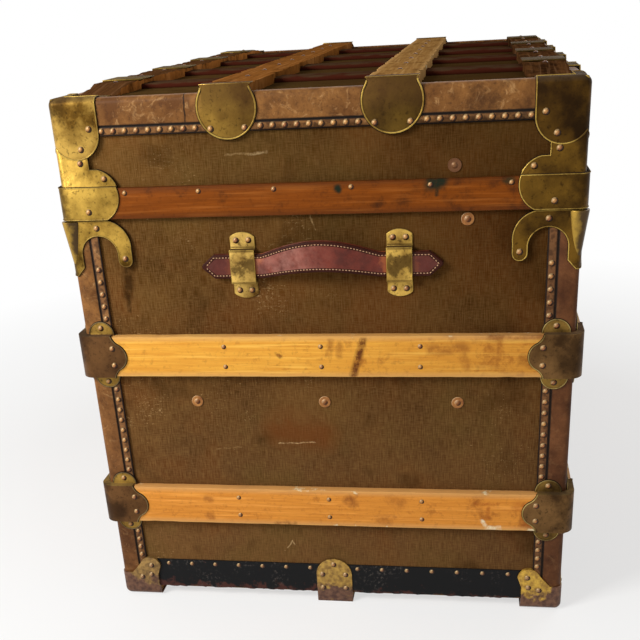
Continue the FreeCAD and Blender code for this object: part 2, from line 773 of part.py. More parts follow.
def in_plan(x, y):
    return V(x, y, lid_band_bottom)


end_wedge = outline(in_plan, (end + brass, -side - brass), (end + brass, side + brass),
                    (end - mitre, side - mitre), (end - mitre, mitre - side))
end_strip = ring.common(end_wedge.extrude(V(0, 0, lid_leg))).Solids[0]
side_wedge = outline(in_plan, (-end - brass, side + brass), (end + brass, side + brass),
                     (end - mitre, side - mitre), (mitre - end, side - mitre))
side_strip = ring.common(side_wedge.extrude(V(0, 0, lid_leg))).Solids[0]
export("lid_edge_bindings", both_ends([end_strip]) + both_sides([side_strip])
       + four_corners(upright_binding(seam_height, lid_band_bottom)))

# Rim slats round the lid's lower edge, with gaps at the back for the hinge leaves
long_rims, short_rims = slat_ring(seam_height, rim_slat_top, rim_slat_thickness)
hinge_gap = hinge_width / 2 + knuckle_gap
hinge_windows = both_ends([box(hinge_offset - hinge_gap, hinge_offset + hinge_gap, side_canvas - binding,
                               side + hinge_leaf, seam_height, rim_slat_top)])
back_rims = long_rims[0].cut(hinge_windows).Solids
export("lid_rim_slats", back_rims + [long_rims[1]] + short_rims)

# Corner caps on the lid's top: the flange lies on the binding's legs and steps down to the canvas between them
cap_bottom = lid_top - cap_height
cap_blank = corner_prisms(brass, (-brass, lid_top + brass), (cap_width, lid_top + brass),
                          (cap_width, lid_top - cap_side),
                          ((cap_lowest, cap_bottom), (-brass, lid_top - cap_heel_drop)))
cap_top = lid_top + brass
pad_end, pad_side = end - top_leg, side - top_leg
flanges = [box(pad_end - brass, end + brass, side - cap_width, side + brass, lid_canvas_top, cap_top),
           box(end - cap_width, end + brass, pad_side - brass, side + brass, lid_canvas_top, cap_top),
           box(end - cap_width, pad_end, side - cap_width, pad_side, lid_canvas_top, lid_canvas_top + brass)]
cap = cap_blank.fuse(flanges).common(lid_block(brass, seam_height))
cap = one_solid(cap.cut([plain_ring, lid_canvas_block]).cut(bound_corner(seam_height, lid_band_bottom)))
export("lid_top_corner_caps", four_corners(cap))

# Corner plates on the lid's rim: a box over the rim slats' corner, and a neck that runs up under the cap
plate_edge = -(rim_proud + brass)
neck_bottom = seam_height + plate_neck_rise
plate_steps = ((plate_edge, seam_height), (plate_foot_width, seam_height),
               ((plate_lobe, seam_height + plate_widest_rise), (plate_shoulder, neck_bottom)),
               (plate_neck, neck_bottom), (plate_neck, lid_band_bottom), (plate_edge, lid_band_bottom))
plate_foot = raised_plate(rim_proud, seam_height, rim_slat_top, seam_height, rim_slat_top + brass,
                          *plate_steps)
plate_rest = bent_plate(brass, rim_slat_top, lid_band_bottom, *plate_steps)
rim_plate = one_solid(plate_foot.fuse(plate_rest).cut(cap))
export("lid_rim_corner_plates", four_corners(rim_plate))

# Cross bands and the slats notched over them
band_places = [cross_band_spacing * (i - (cross_band_count - 1) / 2) for i in range(cross_band_count)]
band_half = cross_band_width / 2
band_length = 2 * (side - edge_slat_inset - fit)


def cross_band(x):
    def in_section(across, up):
        return V(x + across, -band_length / 2, lid_canvas_top + up)

    crown = band_half - cross_band_bevel
    shoulder = cross_band_thickness - cross_band_bevel
    section = outline(in_section, (-band_half, 0), (band_half, 0), (band_half, shoulder),
                      (crown, cross_band_thickness), (-crown, cross_band_thickness), (-band_half, shoulder))
    return section.extrude(V(0, band_length, 0))


export("lid_cross_bands", [cross_band(x) for x in band_places])


def top_slat(half_length, y, width):
    slat = box(-half_length, half_length, y - width / 2, y + width / 2, lid_canvas_top, slat_top)
    notches = [box(x - band_half - fit, x + band_half + fit, y - width, y + width,
                   lid_canvas_top, lid_canvas_top + cross_band_thickness) for x in band_places]
    rebates = both_ends([box(end - top_leg - fit, end, y - width, y + width, lid_canvas_top, lid_top)])
    return one_solid(slat.cut(notches + rebates))


edge_slat_middle = side - edge_slat_inset - edge_slat_width / 2
export("lid_middle_slats", both_sides([top_slat(end - fit, middle_slat_offset, middle_slat_width)]))
edge_slat_half = end - cap_width - cap_gap
export("lid_edge_slats", both_sides([top_slat(edge_slat_half, edge_slat_middle, edge_slat_width)]))

# Shield clamps over the ends of the middle slats, and over the edge slats at each cross band
shield_bottom = lid_top - shield_drop
shield_middle = shield_bottom + shield_radius
waist_middle = shield_neck + shield_waist
waist_rise = math.sqrt((shield_radius + shield_waist) ** 2 - waist_middle ** 2)
waist_turn = math.atan2(waist_rise, waist_middle)
lobe_start = (shield_radius * math.cos(waist_turn), shield_middle + shield_radius * math.sin(waist_turn))
waist_half = (waist_middle - shield_waist * math.cos(waist_turn / 2),
              shield_middle + waist_rise - shield_waist * math.sin(waist_turn / 2))


def shield_face(place, away, middle):
    """A pear-shaped plate on the lid's edge: ears at its top, a waist, and a round lobe below."""
    def on_face(across, z):
        return place(middle + across, z)

    neck = (shield_neck, shield_middle + waist_rise)
    top = slat_top + brass
    face = outline(on_face, (-shield_half_width, top), (-neck[0], neck[1]),
                   ((-waist_half[0], waist_half[1]), (-lobe_start[0], lobe_start[1])),
                   ((0, shield_bottom), lobe_start), (waist_half, neck), (shield_half_width, top))
    behind = box(-end, end, -side, side, lid_band_bottom, slat_top)
    return face.extrude(away * (binding + brass)).cut([behind, lid_canvas_block])


def on_end_middle(y, z):
    return V(end_canvas, y, z)


def on_side_middle(x, z):
    return V(x, side_canvas, z)


def end_shield(y):
    tongue = box(end - shield_top, end + brass, y - shield_half_width, y + shield_half_width,
                 slat_top, slat_top + brass)
    return one_solid(shield_face(on_end_middle, V(1, 0, 0), y).fuse(tongue))


def band_clamp(x):
    """A shield whose strap lies on the lid's edge, turns up at the edge slat and runs over its top."""
    slat_face = side - edge_slat_inset
    low, high = x - shield_half_width, x + shield_half_width
    flange = box(low, high, slat_face, side + brass, lid_top, lid_top + brass)
    riser = box(low, high, slat_face, slat_face + brass, lid_top, slat_top + brass)
    tongue = box(low, high, slat_face - edge_slat_width - fit, slat_face + brass, slat_top, slat_top + brass)
    above = box(low, high, side_canvas, side + 2 * brass, lid_top + brass, slat_top + 2 * brass)
    face = shield_face(on_side_middle, V(0, 1, 0), x).cut(above)
    return one_solid(face.fuse([flange, riser, tongue]))


export("lid_shield_clamps", both_ends([end_shield(sign * middle_slat_offset) for sign in SIGNS]))
export("lid_band_clamps", both_sides([band_clamp(x) for x in band_places]))

# Trim nails in the bindings' strips, left out where stamped plates lie over the strip
clamp_clear = brass + tab_radius + nail_margin
upright_spans = ((foot_top + nail_margin, lower_slat[0] - clamp_clear),
                 (lower_slat[1] + clamp_clear, upper_slat[0] - clamp_clear),
                 (upper_slat[1] + clamp_clear, horn_top - horn_drop - nail_margin))
upright_nails = [(middle_of_strip, z) for low, high in upright_spans for z in spread(low, high, trim_pitch)]
export("case_trim_nails", corner_heads(trim_head, 0, upright_nails))


def clear_spans(half, covered, half_width):
    """The stretches of an edge between its corner caps and the plates at the covered places."""
    limit = half - cap_width - nail_margin
    starts = [-limit] + [c + half_width + nail_margin for c in sorted(covered)]
    stops = [c - half_width - nail_margin for c in sorted(covered)] + [limit]
    return list(zip(starts, stops))


lid_nail_z = lid_top - middle_of_lid_strip
end_spans = clear_spans(side, [-middle_slat_offset, middle_slat_offset], shield_radius)
side_spans = clear_spans(end, band_places, shield_radius)
end_nails = [(y, lid_nail_z) for low, high in end_spans for y in spread(low, high, trim_pitch)]
side_nails = [(x, lid_nail_z) for low, high in side_spans for x in spread(low, high, trim_pitch)]
export("lid_trim_nails", end_heads(trim_head, end, end_nails) + side_heads(trim_head, side, side_nails))

# Rivets on the stamped hardware of the case
lobe_nail_rise = slat_width / 2 - 1.3 * clamp_throat_drop
lobe_places = [(0.8 * clamp_throat, z + sign * lobe_nail_rise)
               for z in (upper_slat_z, lower_slat_z) for sign in SIGNS]
tab_places = [(tab_inset, z + up * (brass + tab_radius / 2)) for low, high in (upper_slat, lower_slat)
              for z, up in ((high, 1), (low, -1))]
horn_places = [((horn_heel + horn_inside) / 2, horn_top - horn_arch_drop / 2),
               (horn_width - horn_leg / 2, horn_bottom + 0.6 * horn_leg)]
foot_places = [(foot_lobe - foot_lobe_drop, foot_top - foot_lobe_drop),
               (0.82 * foot_waist, foot_top - foot_waist_drop),
               (0.55 * foot_waist, foot_top - foot_waist_drop - rivet_head[0])]
case_rivets = corner_heads(rivet_head, slat_proud + brass, lobe_places)
case_rivets += corner_heads(rivet_head, brass, tab_places + horn_places)
case_rivets += corner_heads(rivet_head, iron, foot_places)
skid_nail = 0.65 * skid_clamp_half_width
skid_places = [(0, arch_start + skid_nail), (-skid_nail, arch_start), (skid_nail, arch_start),
               (-skid_nail, foot_height + 2 * rivet_head[0]), (skid_nail, foot_height + 2 * rivet_head[0])]
case_rivets += end_heads(rivet_head, skid_clamp_face + iron, skid_places)
loop_nail_z = (loop_half_height + bridge_half_height) / 2
loop_nails = [(y + sy * loop_width / 4, handle_z + sz * loop_nail_z)
              for y in loop_places for sy in SIGNS for sz in SIGNS]
case_rivets += end_heads(rivet_head, end_canvas + loop_sheet, loop_nails)
leaf_nails = [(x * hinge_width / 3, share * hinge_leaf) for x in SIGNS for share in (0.36, 0.82)]
hinge_face = side_canvas + hinge_sheet
case_rivets += both_ends([dome(rivet_head, V(hinge_offset + x, hinge_face, hinge_z - z), V(0, 1, 0))
                          for x, z in leaf_nails])
front_out = V(0, -1, 0)
base_nail_z = (latch_z - 3 * lever_knuckle, (latch_z + ear_height + seam_height - lock_top_drop) / 2)
case_rivets += both_ends([dome(rivet_head, V(latch_offset + x, -(side_canvas + latch_sheet), z), front_out)
                          for x in (-latch_half_width / 2, latch_half_width / 2)
                          for z in base_nail_z])
lock_nail = 2 * rivet_head[0]
lock_corner = (lock_half_width - lock_nail, lock_top - lock_nail, lock_top - lock_height + lock_nail)
case_rivets += both_ends([dome(rivet_head, V(lock_corner[0], -(side_canvas + lock_depth), z), front_out)
                          for z in lock_corner[1:]])
export("case_rivets", case_rivets)

# Small nails in the case's slats and the bottom band
end_slat_nails = [(y, z + dz) for z in (upper_slat_z, lower_slat_z)
                  for y in (-slat_nail_pitch, 0, slat_nail_pitch) for dz in (-slat_width / 4, slat_width / 4)]
side_slat_nails = [(x, z + dz) for z in (upper_slat_z, lower_slat_z)
                   for x in spread(slat_nail_margin - end, end - slat_nail_margin, slat_nail_pitch)
                   for dz in (-slat_width / 4, slat_width / 4)]
small_nails = end_heads(slat_head, end_canvas + slat_thickness, end_slat_nails)
small_nails += side_heads(slat_head, side_canvas + slat_thickness, side_slat_nails)
band_nail_z = foot_height + bottom_band_height - 2 * band_head[0]
band_limit = foot_lobe + 3 * nail_margin
band_nails = spread(skid_clamp_half_width + 2 * nail_margin, side - band_limit, band_nail_pitch)
end_band_nails = [(sign * y, band_nail_z) for y in band_nails for sign in SIGNS]
small_nails += end_heads(band_head, end_canvas + band, end_band_nails)
side_band_nails = [(x, band_nail_z) for x in spread(band_limit - end, end - band_limit, band_nail_pitch)]
small_nails += side_heads(band_head, side_canvas + band, side_band_nails)
export("case_small_nails", small_nails)


# Clinch studs: a washer and a domed rivet through the wall
def clinch_stud(x, y, z):
    disc = Part.makeCylinder(washer[0], washer[1], V(x, y, z), V(1, 0, 0))
    return one_solid(disc.fuse(dome(stud_head, V(x + washer[1], y, z), V(1, 0, 0))))


stud_places = [(-stud_pitch, runner_z), (0, runner_z), (stud_pitch, runner_z),
               (stay_offset + 2 * washer[0], case_top - 1.2 * washer[0])]
export("clinch_studs", both_ends([clinch_stud(end_canvas, y, z) for y, z in stud_places]))

# Rivets on the lid's stamped hardware, and its one clinch stud at each end
cap_places = [(0.81 * cap_width, lid_top - cap_height / 2), (0.58 * cap_width, cap_bottom + cap_height / 6)]
neck_places = [(0.75 * plate_neck, neck_bottom + 2 * rivet_head[0]),
               (plate_shoulder + 2 * rivet_head[0], (neck_bottom + rim_slat_top) / 2)]
foot_nail = [(0.6 * plate_foot_width, seam_height + rim_slat_width / 4)]
lid_rivets = corner_heads(rivet_head, brass, cap_places + neck_places)
lid_rivets += corner_heads(rivet_head, rim_proud + brass, foot_nail)
shield_nail = (0.68 * shield_half_width, shield_bottom + shield_radius / 3)
shield_nails = [(sx * middle_slat_offset + dx * shield_nail[0], shield_nail[1])
                for sx in SIGNS for dx in SIGNS]
lid_rivets += end_heads(rivet_head, end + brass, shield_nails)
lid_rivets += side_heads(rivet_head, side + brass, [(x + dx * shield_nail[0], shield_nail[1])
                                                    for x in band_places for dx in SIGNS])
lid_rivets += both_ends([dome(rivet_head, V(hinge_offset + x, hinge_face, hinge_z + z), V(0, 1, 0))
                         for x, z in leaf_nails])
lid_rivets += both_ends([clinch_stud(end_canvas, stay_offset, neck_bottom - washer[0])])
export("lid_rivets", lid_rivets)

# Small nails in the lid's slats
rim_nail_z = rim_slat_top - 2 * slat_head[0]
rim_limit = plate_lobe + 2 * nail_margin
rim_end_nails = [(y, rim_nail_z) for y in spread(rim_limit - side, side - rim_limit, rim_nail_pitch)]
rim_front_nails = [x for x in spread(rim_limit - end, end - rim_limit, rim_nail_pitch)
                   if abs(abs(x) - latch_offset) > hinge_width and abs(x) > hinge_width]
lid_small = end_heads(slat_head, end_canvas + rim_slat_thickness, rim_end_nails)
lid_small += side_heads(slat_head, side_canvas + rim_slat_thickness,
                        [(x, rim_nail_z) for x in rim_front_nails])
for y in (middle_slat_offset, edge_slat_middle):
    lid_small += both_sides([dome(slat_head, V(x + dx, y, slat_top), V(0, 0, 1))
                             for x in band_places for dx in (-2 * band_half, 2 * band_half)])
export("lid_small_nails", lid_small)
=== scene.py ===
import json
import math

import bpy
from mathutils import Matrix, Vector, noise

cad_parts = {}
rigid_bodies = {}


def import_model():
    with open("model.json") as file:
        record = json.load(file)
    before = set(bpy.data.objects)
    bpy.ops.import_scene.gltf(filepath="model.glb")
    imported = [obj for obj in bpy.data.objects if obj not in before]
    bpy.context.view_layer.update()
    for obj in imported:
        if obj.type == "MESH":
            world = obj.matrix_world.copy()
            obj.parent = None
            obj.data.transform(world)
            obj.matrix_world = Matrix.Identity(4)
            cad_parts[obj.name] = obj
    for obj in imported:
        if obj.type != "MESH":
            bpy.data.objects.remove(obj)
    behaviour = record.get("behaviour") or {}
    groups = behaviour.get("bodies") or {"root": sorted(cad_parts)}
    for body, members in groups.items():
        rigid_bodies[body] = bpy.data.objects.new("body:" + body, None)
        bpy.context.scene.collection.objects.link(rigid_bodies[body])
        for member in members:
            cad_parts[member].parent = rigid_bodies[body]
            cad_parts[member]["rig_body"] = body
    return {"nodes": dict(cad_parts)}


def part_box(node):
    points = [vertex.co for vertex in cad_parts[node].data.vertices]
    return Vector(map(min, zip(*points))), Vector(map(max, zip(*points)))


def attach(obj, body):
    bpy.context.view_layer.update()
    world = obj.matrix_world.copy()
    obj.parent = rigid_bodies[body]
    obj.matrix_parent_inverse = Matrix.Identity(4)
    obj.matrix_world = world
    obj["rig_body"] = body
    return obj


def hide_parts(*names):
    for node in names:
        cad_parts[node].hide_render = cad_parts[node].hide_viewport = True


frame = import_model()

for leftover in [o for o in bpy.data.objects if o.name in ("Cube", "Light", "Camera")]:
    bpy.data.objects.remove(leftover)
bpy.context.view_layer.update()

# Boards of the case and the lid: sawn basswood planks, nailed together into two open boxes.
# They show only as raw edges at the rim, once the canvas and the lining are on.
mm = 0.001


def linear(hex_colour):
    """An sRGB hex colour as the linear RGBA that shaders take."""
    parts = [int(hex_colour[i:i + 2], 16) / 255 for i in (1, 3, 5)]
    return tuple(c / 12.92 if c <= 0.04045 else ((c + 0.055) / 1.055) ** 2.4 for c in parts) + (1.0,)


def new_material(name):
    """An empty material with a principled shader."""
    material = bpy.data.materials.new(name)
    material.use_nodes = True
    return material


def add(material, kind, inputs, out=0, **settings):
    """Adds a shader node and gives back one of its outputs, or all of them where out is None.
    inputs pairs a socket's name or number with a value or with another node's output."""
    made = material.node_tree.nodes.new("ShaderNode" + kind)
    for setting, value in settings.items():
        setattr(made, setting, value)
    for socket, value in inputs.items():
        if isinstance(value, bpy.types.NodeSocket):
            material.node_tree.links.new(value, made.inputs[socket])
        else:
            made.inputs[socket].default_value = value
    return made.outputs if out is None else made.outputs[out]


def coat(material, colour, tone, measure, start=0.0, full=1.0, depth=1.0):
    """Lays a tone over a colour: none where a measure is at its start, and its whole depth where it is full.
    Each of the two is a hex colour or what an earlier node gives."""
    below, above = [linear(c) if isinstance(c, str) else c for c in (colour, tone)]
    cover = add(material, "MapRange", {0: measure, 1: start, 2: full, 4: depth})
    return add(material, "Mix", {0: cover, 6: below, 7: above}, out=2, data_type="RGBA")


def shade(material, **sockets):
    """Links or sets sockets of the material's shader, such as base_color or roughness."""
    shader = material.node_tree.nodes["Principled BSDF"]
    for name, value in sockets.items():
        socket = shader.inputs[name.replace("_", " ").title().replace("Ior", "IOR")]
        if isinstance(value, bpy.types.NodeSocket):
            material.node_tree.links.new(value, socket)
        else:
            socket.default_value = value


def dress(material, *nodes):
    """Puts a material on CAD nodes whose shape stays as it is."""
    for name in nodes:
        frame["nodes"][name].material_slots[0].material = material


basswood = new_material("sawn_basswood")
place = add(basswood, "TexCoord", {}, out="Object")
# Grain 4 mm wide that runs along the plank
stretched = add(basswood, "Mapping", {"Vector": place, "Scale": (8, 8, 250)})
grain = add(basswood, "TexNoise", {"Vector": stretched, "Scale": 1, "Detail": 6})
colour = coat(basswood, "#7d5630", "#b08a58", grain)
relief = add(basswood, "Bump", {"Height": grain, "Strength": 0.3, "Distance": 0.5 * mm})
shade(basswood, base_color=colour, roughness=0.75, specular_ior_level=0.2, normal=relief)
dress(basswood, "case_floor_board", "case_front_board", "case_back_board", "case_left_end_board",
      "case_right_end_board", "lid_top_board", "lid_rails")

# Canvas: cotton duck glued over the boards and painted brown, so the threads show through a thin film.
# Rubbing has lifted pale fibres, and the lid's top has greyed with dust.


def patches(material, place, grain, start, full, low=0.0, high=1.0):
    """Noise, with a grain of scale, detail and roughness, turned into a value that runs from low to high."""
    settings = dict(zip(("Vector", "Scale", "Detail", "Roughness"), (place, *grain)))
    pattern = add(material, "TexNoise", settings)
    return add(material, "MapRange", {0: pattern, 1: start, 2: full, 3: low, 4: high})


def gather(material, pattern, measure, start, full, low, high):
    """Adds to a pattern as a measure goes from its start to full, so that the patches gather there."""
    more = add(material, "MapRange", {0: measure, 1: start, 2: full, 3: low, 4: high})
    return add(material, "Math", {0: pattern, 1: more}, operation="ADD")


canvas_end, canvas_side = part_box("case_canvas")[1].xy
canvas = new_material("painted_duck_canvas")
where = add(canvas, "TexCoord", {}, out=None)
place = where["Object"]
xyz = add(canvas, "SeparateXYZ", {0: place}, out=None)
facing = add(canvas, "SeparateXYZ", {0: where["Normal"]}, out="Z")
lying = add(canvas, "Math", {0: facing, 1: 0.5}, operation="GREATER_THAN")
upright = add(canvas, "Math", {0: 1.0, 1: lying}, operation="SUBTRACT")
across = add(canvas, "Math", {0: xyz["Y"], 1: upright, 2: xyz["X"]}, operation="MULTIPLY_ADD")
along = add(canvas, "Math", {0: xyz["Y"], 1: lying, 2: xyz["Z"]}, operation="MULTIPLY_ADD")
cloth = add(canvas, "CombineXYZ", {"X": across, "Y": along})
# Threads are drawn 1 mm wide and about 10 mm long, coarser than real ones, so that they show from two metres
warp_place = add(canvas, "Mapping", {"Vector": cloth, "Scale": (1000, 70, 1)})
weft_place = add(canvas, "Mapping", {"Vector": cloth, "Scale": (120, 1000, 1)})
warp = add(canvas, "TexNoise", {"Vector": warp_place, "Scale": 1, "Detail": 3})
weft = add(canvas, "TexNoise", {"Vector": weft_place, "Scale": 1, "Detail": 3})
weave = add(canvas, "Math", {0: weft, 1: 0.7, 2: warp}, operation="MULTIPLY_ADD")
thread = add(canvas, "MapRange", {0: weave, 1: 0.65, 2: 1.06})
# Paint film: olive brown that has worn unevenly over hand-wide patches, redder near the floor
film = coat(canvas, "#3b220a", "#69471f", patches(canvas, place, (7, 6, 0.62), 0.36, 0.66))
film = coat(canvas, film, "#64442b", xyz["Z"], 0.40, 0.08, 0.6)
# Two hues over patches of a hand's width: olive where the varnish is whole, russet where it has gone
hue = add(canvas, "TexNoise", {"Vector": place, "Scale": 9, "Detail": 4, "Roughness": 0.55})
film = coat(canvas, film, "#554620", hue, 0.48, 0.36, 0.4)
film = coat(canvas, film, "#6d3c1a", hue, 0.53, 0.66, 0.45)
lightened = add(canvas, "Math", {0: thread, 1: 0.55}, operation="MULTIPLY")
film = coat(canvas, film, "#86643a", lightened)
# Dark soaked-in stains, in patches of a few centimetres
film = coat(canvas, film, "#2e1c0a", patches(canvas, place, (17, 6, 0.55), 0.56, 0.72, 0.0, 0.55))
# Lifted fibres: pale flecks of 1 to 3 mm along the weft, in clusters where the cloth is rubbed
fleck_place = add(canvas, "Mapping", {"Vector": cloth, "Scale": (330, 560, 1)})
fleck = add(canvas, "TexNoise", {"Vector": fleck_place, "Scale": 1, "Detail": 3, "Roughness": 0.6,
                                 "Distortion": 0.8})
rubbed = patches(canvas, place, (13, 5, 0.65), 0.4, 0.72, -0.14, 0.1)
rubbed = gather(canvas, rubbed, xyz["Y"], 0.1, -0.25, -0.02, 0.045)
fleck = add(canvas, "Math", {0: fleck, 1: rubbed}, operation="ADD")
film = coat(canvas, film, "#a98a5d", fleck, 0.66, 0.76, 0.8)
# Scuffs: level strokes 30 mm long and 1 mm high that other luggage left, few and faint
scuff_place = add(canvas, "Mapping", {"Vector": cloth, "Scale": (17, 420, 1)})
scuff = add(canvas, "TexNoise", {"Vector": scuff_place, "Scale": 1, "Detail": 4, "Roughness": 0.7})
scuff = add(canvas, "Math", {0: scuff, 1: rubbed}, operation="ADD")
film = coat(canvas, film, "#9c7d52", scuff, 0.7, 0.78, 0.75)
# The upper part is painted darker towards the hinges
hinge_darkening_y = add(canvas, "MapRange", {0: xyz["Y"], 1: -0.22, 2: 0.19})
hinge_darkening_z = add(canvas, "MapRange", {0: xyz["Z"], 1: 0.22, 2: 0.46, 3: 0.12, 4: 0.6})
hinge_darkening = add(canvas, "Math", {0: hinge_darkening_y, 1: hinge_darkening_z}, operation="MULTIPLY")
film = coat(canvas, film, "#351b05", hinge_darkening)


def ragged(material, size, shift):
    """Object coordinates that wander, for marks whose edges aren't clean."""
    place = add(material, "TexCoord", {}, out="Object")
    wander = add(material, "TexNoise", {"Vector": place, "Scale": 1 / size, "Detail": 4}, out="Color")
    wander = add(material, "VectorMath", {0: wander, 1: (0.5, 0.5, 0.5)}, operation="SUBTRACT")
    wander = add(material, "VectorMath", {0: wander, "Scale": shift}, operation="SCALE")
    return add(material, "VectorMath", {0: place, 1: wander}, operation="ADD")


def mark(material, place, colour, face, ink, depth, half_width, start, stop):
    """Draws a stroke over a colour, on an end's face, between two places in millimetres of Y and Z."""
    start = Vector((face, start[0] * mm, start[1] * mm))
    way = Vector((face, stop[0] * mm, stop[1] * mm)) - start
    offset = add(material, "VectorMath", {0: place, 1: start}, operation="SUBTRACT")
    along = add(material, "VectorMath", {0: offset, 1: way / way.length_squared}, operation="DOT_PRODUCT",
                out="Value")
    along = add(material, "Clamp", {0: along})
    nearest = add(material, "VectorMath", {0: way, "Scale": along}, operation="SCALE")
    aside = add(material, "VectorMath", {0: offset, 1: nearest}, operation="DISTANCE", out="Value")
    half_width *= mm
    cover = add(material, "MapRange", {0: aside, 1: 0.3 * half_width, 2: half_width, 3: depth, 4: 0.0})
    # It sits on the raised fibres only, so it breaks up, a wide stroke into larger pieces than a fine one
    speck = max(2.4 * mm, 2 * half_width)
    broken = patches(material, place, (1 / speck, 6, 0.7), 0.36, 0.56, 0.15, 1.0)
    cover = add(material, "Math", {0: cover, 1: broken}, operation="MULTIPLY")
    return coat(material, colour, ink, cover)


# Single marks on the end towards +X: a dark run below the rim, a red rub, scratches and a tick
wandering = ragged(canvas, 9 * mm, 5 * mm)
for stroke in (
        ("#2a190b", 0.75, 9, (-200, 414), (-205, 378)),
        ("#2a190b", 0.7, 4, (-205, 378), (-207, 360)),
        ("#6b3a1a", 0.6, 30, (-48, 224), (-8, 216)),
        ("#c0a070", 0.8, 1.1, (-55, 205), (-13, 207)),
        ("#b09060", 0.4, 0.8, (-127, 197), (-98, 200)),
        ("#c0a070", 0.8, 1.0, (-57, 66), (-47, 80)),
        ("#c0a070", 0.7, 1.0, (-47, 80), (-45, 75)),
        ("#a98a5d", 0.45, 1.2, (-86, 517), (-62, 518)),
        ("#b89c70", 0.6, 1.6, (-62, 517), (-44, 519)),
        ("#a98a5d", 0.7, 1.0, (-5, 456), (-1, 442))):
    film = mark(canvas, wandering, film, canvas_end, *stroke)
dust = add(canvas, "Math", {0: lying, 1: 0.5}, operation="MULTIPLY")
film = coat(canvas, film, "#352a16", dust)
relief = add(canvas, "Bump", {"Height": thread, "Strength": 0.5, "Distance": 0.4 * mm})
shade(canvas, base_color=film, roughness=0.75, specular_ior_level=0.0, normal=relief)
dress(canvas, "case_canvas", "lid_canvas")

# Lining: paper-faced muslin pasted inside the case and the lid, foxed with age.
# The dust lip inside the rim is a thin board covered with the same paper.
lining = new_material("aged_lining_paper")
place = add(lining, "TexCoord", {}, out="Object")
colour = coat(lining, "#bfab82", "#8d6f45", patches(lining, place, (60, 8, 0.7), 0.5, 0.8))
fibre = add(lining, "TexNoise", {"Vector": place, "Scale": 700, "Detail": 2})
relief = add(lining, "Bump", {"Height": fibre, "Strength": 0.2, "Distance": 0.3 * mm})
shade(lining, base_color=colour, roughness=0.85, specular_ior_level=0.2, normal=relief)
dress(lining, "case_lining", "lid_lining", "case_dust_lip")

# Edge bindings: vulcanised fibre, bent hot round the edges, with a nail strip pressed beside a groove.
# They hold the canvas down; the corners are rubbed pale, and the groove and the strip's edge are painted
# dark, dirt and painted shade together.


def hold(piece):
    """Makes a piece the only one that is selected, and the active one."""
    bpy.ops.object.select_all(action="DESELECT")
    piece.select_set(True)
    bpy.context.view_layer.objects.active = piece


def placed(name, data):
    """A new object in the scene."""
    made = bpy.data.objects.new(name, data)
    bpy.context.scene.collection.objects.link(made)
    return made


def copy_of(node, name, *materials):
    """A new piece with a CAD node's shape, its loose triangles merged and flat ones joined into faces."""
    piece = placed(name, frame["nodes"][node].data.copy())
    hold(piece)
    piece.data.materials.clear()
    for material in materials:
        piece.data.materials.append(material)
    bpy.ops.mesh.customdata_custom_splitnormals_clear()
    bpy.ops.object.mode_set(mode="EDIT")
    bpy.ops.mesh.select_all(action="SELECT")
    bpy.ops.mesh.remove_doubles(threshold=0.01 * mm)
    bpy.ops.mesh.dissolve_limited(angle_limit=math.radians(1))
    bpy.ops.object.mode_set(mode="OBJECT")
    return piece


def round_edges(piece, width, segments=2, sharper_than=35):
    """Bevels the sharp edges; the bevels take the piece's last material, as rubbed rims do, and on brass that
    material also holds a painted highlight.
    """
    rounding = piece.modifiers.new("rounding", "BEVEL")
    rounding.width = width
    rounding.segments = segments
    rounding.limit_method = "ANGLE"
    rounding.angle_limit = math.radians(sharper_than)
    rounding.material = len(piece.data.materials) - 1
    bpy.ops.object.modifier_apply(modifier=rounding.name)


def settle(piece, node):
    """Smooths a finished piece's shading and puts it in a CAD node's place."""
    bpy.ops.object.shade_smooth_by_angle(angle=math.radians(40))
    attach(piece, frame["nodes"][node]["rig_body"])
    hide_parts(node)


def fit(node, ending, rounding, segments, *materials):
    """Puts a piece with rounded edges in the place of a CAD node, under the node's name with an ending."""
    piece = copy_of(node, node + ending, *materials)
    round_edges(piece, rounding, segments)
    settle(piece, node)


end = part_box("case_corner_bindings")[1].x
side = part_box("case_corner_bindings")[1].y
lid_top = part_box("lid_edge_bindings")[1].z
upright_groove, upright_leg = 22 * mm, 32 * mm
lid_groove, lid_leg = 27 * mm, 36 * mm


def corner_gap(material, xyz):
    """Distance from the nearest upright corner, the same on an end and on a side."""
    out_x = add(material, "Math", {0: xyz["X"]}, operation="ABSOLUTE")
    out_y = add(material, "Math", {0: xyz["Y"]}, operation="ABSOLUTE")
    out = add(material, "Math", {0: out_x, 1: out_y}, operation="ADD")
    return add(material, "Math", {0: end + side, 1: out}, operation="SUBTRACT")


def away_from(material, measure, middle):
    """How far a measure lies from a middle value, on either side of it."""
    apart = add(material, "Math", {0: measure, 1: middle}, operation="SUBTRACT")
    return add(material, "Math", {0: apart}, operation="ABSOLUTE")


def coordinates(material):
    """Object coordinates, whole and as X, Y and Z."""
    place = add(material, "TexCoord", {}, out="Object")
    return place, add(material, "SeparateXYZ", {0: place}, out=None)


fibre_board = new_material("vulcanised_fibre")
place, xyz = coordinates(fibre_board)
# Calendered sheet: tan brown, mottled over 15 to 40 mm, with rings and scuffs where it has soaked and dried
mottle = patches(fibre_board, place, (32, 8, 0.66), 0.36, 0.66)
colour = coat(fibre_board, "#623b18", "#966533", mottle)
ring = add(fibre_board, "TexNoise", {"Vector": place, "Scale": 70, "Detail": 7, "Roughness": 0.72,
                                     "Distortion": 1.4})
colour = coat(fibre_board, colour, "#c69862", ring, 0.55, 0.7, 0.75)
stain = add(fibre_board, "TexNoise", {"Vector": place, "Scale": 21, "Detail": 8, "Roughness": 0.68})
stain = gather(fibre_board, stain, xyz["Y"], -0.2, 0.26, -0.02, 0.05)
colour = coat(fibre_board, colour, "#3d220e", stain, 0.55, 0.68, 0.75)
# Grit of 3 mm pressed into the sheet
grit = patches(fibre_board, place, (330, 4, 0.7), 0.52, 0.66, 0.0, 0.5)
colour = coat(fibre_board, colour, "#462813", grit)
